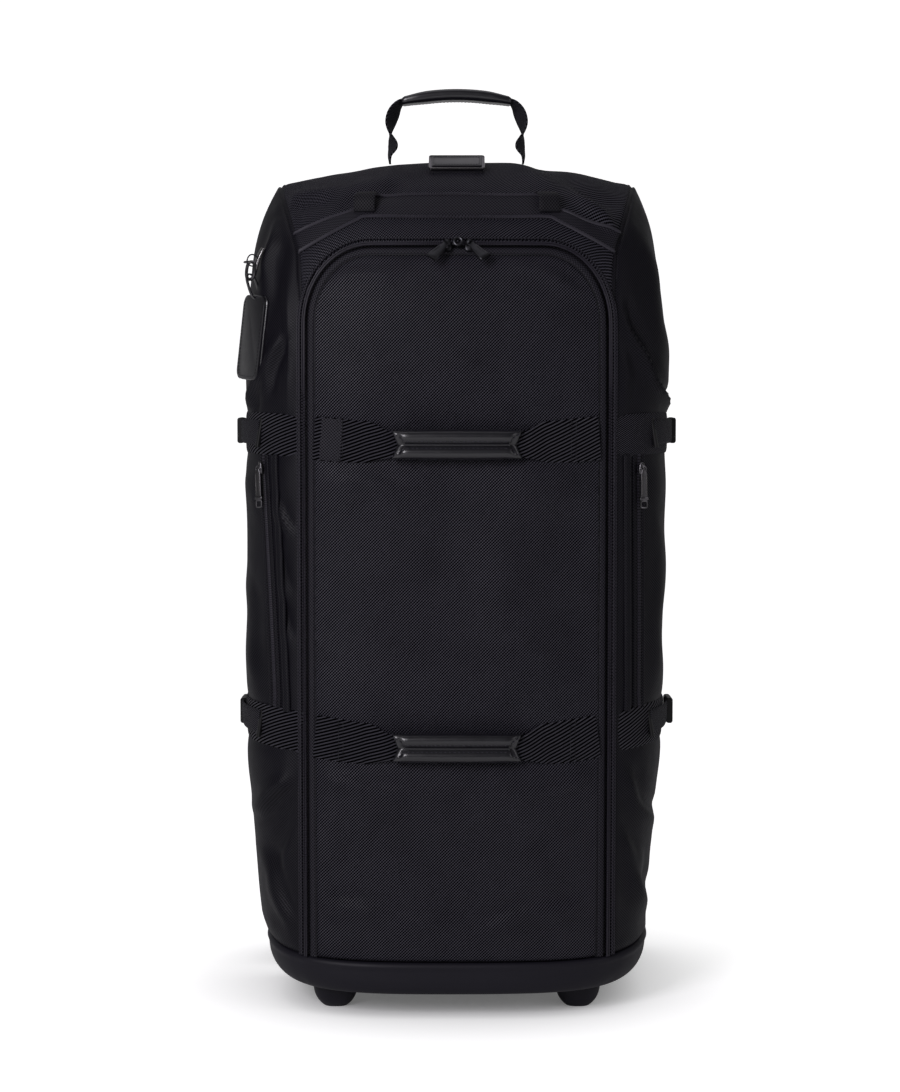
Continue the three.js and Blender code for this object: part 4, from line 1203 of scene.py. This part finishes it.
def grips():
    """Leather grips wrapped round the webbing, notched in a V at each end and stitched along the groove."""
    for level in STRAP_Z:
        node = f"{level}_grip"
        grip = middle(node)
        half = high(node).x
        back_y = high(node).y
        ends = np.array([0.86, 0.92, 0.96, 0.985, 1])
        stations = np.concatenate([-ends[::-1], np.linspace(-0.78, 0.78, 27), ends])
        rings = []
        for s in stations:
            fat = 0.74 + 0.26 * smooth(1.0, 0.8, abs(s)) + 0.04 * (1 - s * s)
            section = grip_lobe(fat)
            notch = smooth(0.8, 1.0, abs(s)) * np.clip(1 - np.abs(section[:, 1]) / (13 * MM), 0, 1) * 14 * MM
            x = s * half - np.sign(s) * notch
            depth = section[:, 0] + 1.0 * MM * (1 - s * s)
            swell = 1 + 0.05 * (1 - s * s)
            rings.append(np.stack([x, back_y - depth, grip.z + section[:, 1] * swell], -1))
        rings = np.array(rings)
        n, k = rings.shape[:2]
        ends = [range(k), range(n * k - 1, (n - 1) * k - 1, -1)]
        faces = [f[::-1] for f in quads(n, k, True)] + ends
        uv = stack(rings[..., 0], rings[..., 2]).reshape(-1, 2)
        piece = make(f"{node}_leather", rings.reshape(-1, 3), faces, node, LEATHER, uv, "leather", sharp=65)
        soft = piece.modifiers.new("soft", "SUBSURF")
        soft.levels = soft.render_levels = 1
        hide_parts(f"{level}_grip")
        grip_seams(node, grip.z, half, back_y)


def grip_seams(node, middle_z, half, back_y):
    """The roll in a grip's groove, its two rows of stitches and the stitched V at each end."""
    def bowed(reach_x, count, depth, z):
        x = np.linspace(-reach_x, reach_x, count) * half
        return stack(x, back_y - depth - 1.0 * MM * (1 - (x / half) ** 2), z)

    core = bowed(0.8, 40, 9.2 * MM, middle_z)
    outline = rounded(2.2 * MM, 2.2 * MM, 0.9 * MM, 3)
    sweep(f"{node}_core", core, (0, 0, 1), (0, -1, 0), outline, node, LEATHER, "leather")
    t = np.linspace(0, 1, 16)
    for shift in (-1, 1):
        line = bowed(0.78, 60, 10.4 * MM, middle_z + shift * 3.4 * MM)
        tilt = unit(np.array([0, -1, -shift * 0.9]))
        stitches(f"{node}_stitches_{shift + 1}", line, tilt, node, **GRIP_SEWING)
        for end in (-1, 1):
            x = end * half * (0.79 + 0.17 * t)
            line = stack(x, back_y - (10.6 - 1.2 * t) * MM, middle_z + shift * (3.4 + 6.8 * t) * MM)
            stitches(f"{node}_v_{shift + 1}_{end + 1}", line, (0, -1, 0), node, **GRIP_SEWING)


def side_path(level, side, start, end, count, shift=0.0, lift=0.0):
    """A path round the side along a strap, between two angles about the middle axis."""
    angle = np.linspace(start, end, count)
    z = np.full(count, STRAP_Z[level])
    turned = angle if side > 0 else math.pi - angle
    for _ in range(3):
        p = around_point(z, turned)
        z = strap_z(level, p[:, 0]) + shift
    return on_body(p, lift)


def side_webbing(level, name, side):
    """A wide side strap that dives into the seams at both ends."""
    edge = front_point(ZIP_X + 8 * MM, STRAP_Z[level])
    start = math.atan2(edge[1] - MID_Y, edge[0])
    dive = np.concatenate([np.linspace(-1.8, 0.8, 7), np.full(66, 0.8), np.linspace(0.8, -1.6, 7)]) * MM
    path, normal = side_path(level, side, start, 0.40, 80, lift=dive)
    material = RIBS if name == "left" or level == "lower" else FINE_RIBS
    piece = band(f"{level}_{name}_side_webbing", path[::side], normal[::side], 41 * MM, 1.6 * MM, "bag",
                 material, crown=0.4 * MM, columns=20)
    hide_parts(f"{level}_{name}_side_strap")


def compression_strap(level, name, side):
    """The narrow strap over a side strap: a tab with its slot bar, and a tail that leaves with the plug."""
    socket, plug = (f"{level}_{name}_buckle_{part}" for part in ("socket", "plug"))
    reach_in = math.atan2(low(socket).y - MID_Y + 4 * MM, HALF_WIDTH)
    reach_out = math.atan2(high(plug).y - MID_Y - 3 * MM, HALF_WIDTH)
    shift = middle(socket).z - float(strap_z(level, HALF_WIDTH))
    t = np.linspace(0, 1, 30)
    path, normal = side_path(level, side, -0.55, reach_in, 30, shift, 2.6 * MM)
    path = path + normal * (smooth(0.2, 1.0, t) * 3.4 * MM)[:, None]
    band(f"{level}_{name}_tab", path, normal, 24 * MM, 1.7 * MM, "bag", FINE_RIBS, crown=0.2 * MM)
    bar = path[0] + np.linspace(-14.5, 14.5, 9)[:, None] * MM * np.array([-0.16 * side, 0.05, 1])
    sideways = unit(np.cross(normal[0], [0, 0, 1]))
    sweep(f"{level}_{name}_slot_bar", bar + normal[0] * 0.6 * MM, sideways, normal[0],
          rounded(4.8 * MM, 3.6 * MM, 1.2 * MM, 3), "bag", PLASTIC, "black_plastic")
    path, normal = side_path(level, side, reach_out, 0.44, 30, shift, 2.6 * MM)
    path = path + normal * (smooth(0.6, 0.0, t) * 2.0 * MM)[:, None]
    band(f"{level}_{name}_tail", path, normal, 24 * MM, 1.7 * MM, f"{level}_{name}_plug", FINE_RIBS,
         crown=0.2 * MM)


def side_straps():
    for level in STRAP_Z:
        for name, side in SIDES:
            side_webbing(level, name, side)
            compression_strap(level, name, side)


def yoke_edges(x):
    """Heights of the upper and lower edge of the yoke; its ends slope down to the side seams."""
    x = np.abs(x)
    step = smooth(0.080, 0.099, x)
    away = np.clip((x - 0.092) / 0.066, 0, 1)
    return (806 - 13 * step - 24 * away) * MM, (780 - 36 * away) * MM


def yoke():
    """A wide band across the shoulder, roped seams along both edges, and two raised loops."""
    s = np.linspace(-1, 1, 170)
    rows = []
    for t in np.linspace(0, 1, 16):
        x = s * 0.15
        for _ in range(3):
            upper, lower = yoke_edges(x)
            z = lower + (upper - lower) * t
            x = s * (seam_x(z) - 1.5 * MM)
        rows.append(over_point(x, over_angle(x, z)))
    grid = np.array(rows[::-1])
    thickness = 1.5 * MM
    outer, normal = on_body(grid, 1.7 * MM)
    outer = outer - normal * (thickness * np.exp(-((border_distance(grid) / thickness) ** 2)))[..., None]
    points, faces, _ = shell(outer, outer - normal * thickness, turned=True)
    uv = np.tile(arc_uv(grid).reshape(-1, 2), (2, 1))
    piece = make("yoke_band", points, faces, "bag", BAND, uv, "webbing", sharp=60)
    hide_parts("yoke_webbing")
    for name, row in (("upper", 1), ("lower", -2)):
        line = outer[row] + normal[row] * 0.4 * MM
        stitches(f"yoke_rope_{name}", line, normal[row], "bag", length=4.4 * MM, gap=-0.2 * MM,
                 radius=0.9 * MM, turn=0.9, material=CORD)
    for name, sign in SIDES:
        loop_x = sign * 0.088
        centre = over_point(loop_x, over_angle(loop_x, 795 * MM))
        out_way = outward(centre[None])[0]
        up = upward(out_way)
        t = np.linspace(0, 1, 30)
        hump = np.sin(np.clip(t * 1.12 - 0.06, 0, 1) * math.pi) ** 0.7 * 7.5 * MM
        climb = (t - 0.5) * 26 * MM
        at = centre + np.outer(climb, up) + np.outer(hump + 3.0 * MM, out_way)
        across = np.cross(up, out_way)
        facing = unit(np.cross(across, tangents(at)))
        facing = facing * np.sign((facing[15] * out_way).sum())
        band(f"yoke_loop_{name}", at, facing, 21 * MM, 1.5 * MM, "bag", WEBBING, columns=10)


# ---- badge, handle and tag ----
def layered(name, centre, across, up, out, lifts, insets, size, radius, body, material, slot, steps=5,
            sharp=40):
    """A plate built up along out: at each lift its rounded outline is smaller by that inset all round."""
    inset = 2 * np.array(insets) * MM
    profile = rounded(size[0] - inset, size[1] - inset, radius * MM, steps)
    return sweep(name, centre + np.outer(lifts, out) * MM, across, up, profile, body, material, slot, sharp)


def badge():
    """A gunmetal frame with a bright bevel round a stitched leather inset, on a leather base."""
    centre = np.array(middle("badge_plate"))
    lowest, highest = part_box("badge_plate")
    width = highest.x - lowest.x
    tilt = 0.66
    up = np.array([0, math.cos(tilt), math.sin(tilt)])
    out = np.array([0, -math.sin(tilt), math.cos(tilt)])
    across = np.array([1.0, 0, 0])
    height = 24 * MM
    base = centre - out * 2.0 * MM

    def plate(name, lifts, insets, radius, material, slot):
        return layered(name, base, across, up, out, lifts, insets, (width, height), radius, "bag",
                       material, slot)

    frame_piece = plate("badge_frame", (0, 0.6, 2.4, 3.0), (0.8, 0.3, 0.3, 1.4), 2.6, GUNMETAL, "gunmetal")
    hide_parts("badge_plate")
    edge = rounded(width - 1.4 * MM, height - 1.4 * MM, 2.4 * MM, 5)
    rim = base + out * 3.0 * MM + edge[:, :1] * across + edge[:, 1:] * up
    away = unit(edge[:, :1] * across + edge[:, 1:] * up)
    sweep("badge_bevel", rim, away, out, rounded(0.9 * MM, 1.3 * MM, 0.4 * MM, 2), "bag", BRIGHT, "gunmetal",
          closed=True)
    plate("badge_inset", (3.2, 4.2, 4.6), (3.0, 3.0, 3.8), 1.6, LEATHER, "leather")
    corner = rounded(width - 10.5 * MM, height - 10.5 * MM, 1.2 * MM, 5)
    loop = np.concatenate([corner, corner[:1]])
    line = base + out * 4.7 * MM + loop[:, :1] * across + loop[:, 1:] * up
    stitches("badge_stitches", line, out, "bag", length=1.8 * MM, gap=0.9 * MM, radius=0.26 * MM)
    foot = over_point(0.0, np.array(1.27))
    at = np.array([foot - up * 6 * MM - out * 2 * MM, base - out * 5 * MM, base - out * 0.4 * MM])
    inset = np.array([0, 2, 4]) * MM
    profile = rounded(width - inset, height + 4 * MM - inset, 3 * MM, 5)
    sweep("badge_base", at, across, up, profile, "bag", LEATHER, "leather")


# One leg of the top handle, from its foot to the middle of the grip: millimetres out, up, and twist.
HANDLE_ROUTE = (
    (0, 0, 0), (0, 8, -0.15), (-3, 17, -0.42), (-1.4, 25, -0.22), (0, 32, 0.1), (-0.6, 41, 0.42),
    (-3.6, 50.5, 0.5), (-8, 58.5, 0.3), (-14, 63, 0.1), (-27, 66, 0), (-48, 68.5, 0), (-68, 69.5, 0),
)


def handle_route():
    """The right half of the top handle's webbing, from its foot to the middle of the grip, and its twist."""
    foot = low("left_handle_tab").z + 0.6 * MM
    base = low("right_handle_tab").x - 3.4 * MM
    t = np.linspace(0, len(HANDLE_ROUTE) - 1, 90)
    keys = np.array(HANDLE_ROUTE, float)
    leg = np.stack([smooth_through(keys[:, i], t) for i in range(3)], -1)
    at = stack(base + leg[:, 0] * MM, MID_Y, foot + leg[:, 1] * MM)
    return at, leg[:, 2]


def smooth_through(values, t):
    """Catmull-Rom values through evenly spaced keys."""
    values = np.concatenate([[2 * values[0] - values[1]], values, [2 * values[-1] - values[-2]]])
    i = np.clip(np.floor(t).astype(int), 0, len(values) - 4)
    f = t - i
    a, b, c, d = (values[i + k] for k in range(4))
    return 0.5 * (2 * b + (c - a) * f + (2 * a - 5 * b + 4 * c - d) * f**2 + (3 * b - a - 3 * c + d) * f**3)


def top_handle():
    at, twist = handle_route()
    for name, side in SIDES:
        route = at * [side, 1, 1]
        along = tangents(route)
        flat = unit(np.cross(along, [0, 1, 0]))
        wide = np.cos(twist)[:, None] * np.array([0, 1, 0]) + np.sin(twist)[:, None] * flat * side
        piece = sweep(f"top_handle_webbing_{name}", route, wide, unit(np.cross(wide, along) * -side),
                      rounded(23 * MM, 2.2 * MM, 0.99 * MM, 3), None, FINE_RIBS, "webbing", sharp=50)
        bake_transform(piece)
        replaced = ["top_handle_webbing", "left_handle_tab", "right_handle_tab"] if side < 0 else []
        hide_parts(*replaced)
    grip_low, grip_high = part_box("top_handle_grip")
    half = grip_high.x
    x = np.concatenate([[-1, -0.985, -0.95], np.linspace(-0.9, 0.9, 25), [0.95, 0.985, 1]]) * half
    lift = 6.5 * MM * (1 - (x / half) ** 2)
    centre_z = grip_low.z + 4.9 * MM
    share = np.abs(x) / half
    thick = (11.4 - 3.2 * smooth(0.5, 1.0, share) - 4 * smooth(0.97, 1.0, share)) * MM
    wide = (30 - 3 * smooth(0.7, 1.0, share) - 4 * smooth(0.97, 1.0, share)) * MM
    route = stack(x, MID_Y, centre_z + lift)
    piece = sweep("top_handle_leather", route, (0, 1, 0), (0, 0, 1), rounded(wide, thick, 0.46 * thick, 5),
                  "top_handle", LEATHER, "leather", sharp=60)
    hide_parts("top_handle_grip")
    for edge in (-1, 1):
        line = route + np.array([0, edge * 1.0, 0]) * (wide / 2 - 3.2 * MM)[:, None]
        line = line[3:-3] - [0, 0, 1] * (thick[3:-3, None] / 2 - 0.4 * MM)
        stitches(f"top_handle_stitches_{edge + 1}", line, (0, 0, -1), "top_handle", length=2.2 * MM,
                 gap=1.4 * MM)


TAG_TILT = 0.11  # how far the hanging tag leans to the left


def luggage_tag():
    """Two layers of leather with a stitched face, a strap loop and a ring."""
    centre = np.array(middle("luggage_tag"))
    across = -joint_line("luggage_tag_swing")[1]
    up = np.array([0, 0, 1.0])
    out = np.cross(up, across)
    out = out * -np.sign(out[0])
    lowest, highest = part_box("luggage_tag")
    height = highest.z - lowest.z
    width = 47 * MM
    c, s = math.cos(TAG_TILT), math.sin(TAG_TILT)
    turn = np.array([[c, 0, s], [0, 1, 0], [-s, 0, c]])
    hinge = centre - up * (height / 2 - 10 * MM)
    centre = hinge + turn @ (centre - hinge)
    up, out, across = turn @ up, turn @ out, turn @ across

    def plate(name, lifts, insets):
        return layered(name, centre, across, up, out, lifts, insets, (width, height), 9, "luggage_tag",
                       LEATHER, "leather", 6, 30)

    piece = plate("tag_back_layer", (-4.6, -3.8, -1.0, -0.2), (0.9, 0, 0, 0.6))
    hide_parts("luggage_tag")
    plate("tag_front_layer", (0.1, 0.4, 1.8, 2.3), (0.9, 0.5, 0.5, 1.2))
    border = rounded(width - 7 * MM, height - 7 * MM, 7 * MM, 8)
    border = np.concatenate([border, border[:1]])
    line = centre + out * 2.35 * MM + border[:, :1] * across + border[:, 1:] * up
    stitches("tag_stitches", line, out, "luggage_tag", length=2.4 * MM, gap=1.2 * MM, radius=0.28 * MM)
    top = centre + up * (height / 2 - 3 * MM)
    hang = top + up * 22 * MM - np.array([8.5 * MM, 0, 0])
    rise = unit(hang - top)
    t = np.linspace(0, 2 * math.pi, 49)[:-1]
    c, s = np.cos(t), np.sin(t)
    deep, tall = np.sign(c) * np.abs(c) ** 0.8 * 5.0 * MM, np.sign(s) * np.abs(s) ** 0.7 * 13 * MM
    at = (top + hang) / 2 + np.outer(deep, out) + np.outer(tall, rise)
    normal = unit(np.outer(c / 5.0, out) + np.outer(s / 13, rise))
    piece = sweep("tag_lace", at, across, normal, rounded(4.6 * MM, 1.7 * MM, 0.6 * MM, 2), "luggage_tag",
                  LEATHER, "leather", closed=True)
    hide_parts("tag_loop")
    ring_at = hang + up * 5.0 * MM
    ring("tag_ring", ring_at, across, up, 8.6 * MM, 1.7 * MM, "luggage_tag", GUNMETAL, "gunmetal", 2.6)


def side_ring():
    """A slanted metal bar sewn beside the tag, with a wire loop that holds the tag's ring."""
    base, normal = on_body(front_point(-0.188, 0.738)[None], 2.2 * MM)
    out = normal[0]
    up = upward(out)
    across = np.cross(up, out)
    slant = unit(up + across * 0.22)
    t = np.linspace(-1, 1, 16)
    bar = base + np.outer(t, slant) * 14 * MM + np.outer(1 - t**2, out) * 1.5 * MM
    profile = rounded((6.4 - 1.6 * np.abs(t) ** 6) * MM, 3.2 * MM, 1.3 * MM, 3)
    sweep("tag_bar", bar, np.cross(slant, out), out, profile, "bag", BRIGHT, "gunmetal")
    wire_at = base[0] + out * 7.0 * MM - slant * 1.0 * MM
    ring("tag_bar_wire", wire_at, out, slant, 5.6 * MM, 0.7 * MM, "bag", DARK_METAL, "gunmetal", 2.4)


def seam_cords():
    """Piping in the seams between the side panels and the top."""
    levels = np.linspace(ARCH_FOOT - 2 * MM, 0.8185, 50)
    for name, side in SIDES:
        front = over_point(side * seam_x(levels), over_angle(seam_x(levels), levels))
        start = float(over_angle(SEAM_X, 0.8185))
        crest = over_point(side * SEAM_X, np.linspace(start, 2.22, 40)[1:])
        path = np.concatenate([front, crest])
        normal = outward(path)
        cross = unit(np.cross(normal, tangents(path)))
        sweep(f"{name}_seam_cord", path - normal * 2.2 * MM, cross, normal,
              rounded(4.6 * MM, 2.6 * MM, 1.2 * MM, 3), "bag", SIDE_CLOTH, "side_fabric")


# ---- feet ----
def feet():
    """Moulded feet: domed blocks with a flat worn sole."""
    for name, _ in SIDES:
        node = f"{name}_front_foot"
        lowest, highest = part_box(node)
        centre = np.array(middle(node))
        tall = highest.z - lowest.z
        t = np.concatenate([[0, 0.004, 0.015, 0.04, 0.08], np.linspace(0.13, 1, 18)])
        size = np.sqrt(1 - (1 - t) ** 2.1 * 0.74)
        half_x = (highest.x - lowest.x) / 2 * size
        half_y = (highest.y - lowest.y) / 2 * size
        at = stack(centre[0], centre[1], lowest.z + t * tall)
        outline = rounded(2 * half_x, 2 * half_y, half_x * 0.82, 8)
        piece = sweep(f"{node}_moulding", at, (1, 0, 0), (0, 1, 0), outline, "bag", BOOT, "black_plastic",
                      sharp=35)
        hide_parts(node)


# ---- CAD pieces that keep their shape ----
def refinish():
    finishes = {
        "black_plastic": PLASTIC,
        "gunmetal": GUNMETAL,
        "tube_alloy": TUBE,
        "axle_steel": STEEL,
        "wheel_rubber": RUBBER,
        "webbing": WEBBING,
        "leather": LEATHER,
        "side_fabric": SIDE_CLOTH,
        "ballistic_fabric": CLOTH,
        "boot_plastic": BOOT,
    }
    slots = {part["node"]: part["material_slot"] for part in frame["record"]["subparts"]}
    for name, node in frame["nodes"].items():
        node.data.materials.clear()
        node.data.materials.append(finishes[slots[name]])


# ---- stage ----
LIGHT_COLOUR = (0.97, 0.94, 1.0)


def area_light(name, at, target, size, power):
    light = bpy.data.lights.new(name, "AREA")
    light.shape = "RECTANGLE"
    light.size, light.size_y = size
    light.energy = power
    light.color = LIGHT_COLOUR
    holder = place(name, light)
    holder.location = at
    holder.rotation_euler = (Vector(target) - Vector(at)).to_track_quat("-Z", "Y").to_euler()


def stage():
    """A pale floor that curves up behind, soft lights and the camera; the floor's glow is dimmed by ambient
    occlusion, a painted contact shadow on top of the real one cast by the lights.
    """
    t = np.linspace(0, math.pi / 2, 20)
    y = np.concatenate([[-6.0], 3.5 + 1.5 * np.sin(t), [5.0]])
    z = np.concatenate([[0.0], 1.5 - 1.5 * np.cos(t), [7.0]])
    xs = (-9.0, 9.0)
    points = [(x, a, b) for a, b in zip(y, z) for x in xs]
    faces = [(2 * i, 2 * i + 1, 2 * i + 3, 2 * i + 2) for i in range(len(y) - 1)]
    mesh = bpy.data.meshes.new("floor")
    mesh.from_pydata(points, [], faces)
    mesh.shade_smooth()
    pale = Finish("pale_floor", (0.9, 0.9, 0.9), 0.7, specular=0.1)
    pale.shader.inputs["Emission Color"].default_value = (1, 1, 1, 1)
    # Painted shadow: the floor's glow, seen only by the camera, is dimmed by ambient occlusion near the bag,
    # adding painted contact shade to the real shadow from the lights.
    shade = pale.nodes.new("ShaderNodeAmbientOcclusion")
    shade.inputs["Distance"].default_value = 0.16
    seen = pale.nodes.new("ShaderNodeLightPath")
    shadowed_glow = pale.between(shade.outputs["AO"], 0.1, 0.9)
    visible = pale.between(seen.outputs["Is Camera Ray"], 0.1, 1.0)
    pale.links.new(pale.math("MULTIPLY", shadowed_glow, visible), pale.shader.inputs["Emission Strength"])
    mesh.materials.append(pale.material)
    place("floor", mesh)
    area_light("key_left", (-1.7, -2.9, 1.9), (0, 0, 0.5), (1.1, 1.6), 50)
    area_light("fill_right", (2.6, -1.5, 1.6), (0, 0, 0.45), (0.8, 1.6), 6)
    area_light("overhead", (-0.2, 0.4, 3.0), (0, 0, 0.3), (2.4, 1.6), 7)
    world = bpy.data.worlds.new("studio")
    world.use_nodes = True
    nodes, links = world.node_tree.nodes, world.node_tree.links
    seen = nodes.new("ShaderNodeLightPath")
    level = nodes.new("ShaderNodeMapRange")
    level.inputs["To Min"].default_value = 0.07
    level.inputs["To Max"].default_value = 1.0
    links.new(seen.outputs["Is Camera Ray"], level.inputs["Value"])
    links.new(level.outputs["Result"], nodes["Background"].inputs["Strength"])
    nodes["Background"].inputs["Color"].default_value = (1, 1, 1, 1)
    bpy.context.scene.world = world
    bpy.context.scene.view_settings.view_transform = "Standard"
    lens = bpy.data.cameras.new("camera")
    lens.sensor_width = 36
    lens.lens = 82.2
    camera = place("camera", lens)
    camera.location = (-6.7 * MM, low("bottom_boot").y - 2.4, 0.624)
    camera.rotation_euler = (math.radians(90 - 3.81), 0, 0)
    bpy.context.scene.camera = camera


stage()
refinish()
front_door()
top_panel()
side_panels()
back_panel()
back_seams()
boot()
housing_liners()
main_zip()
pocket_zips()
sliders()
lock_ring()
main_pulls()
pocket_pulls()
door_straps()
grips()
side_straps()
yoke()
seam_cords()
badge()
top_handle()
luggage_tag()
side_ring()
feet()
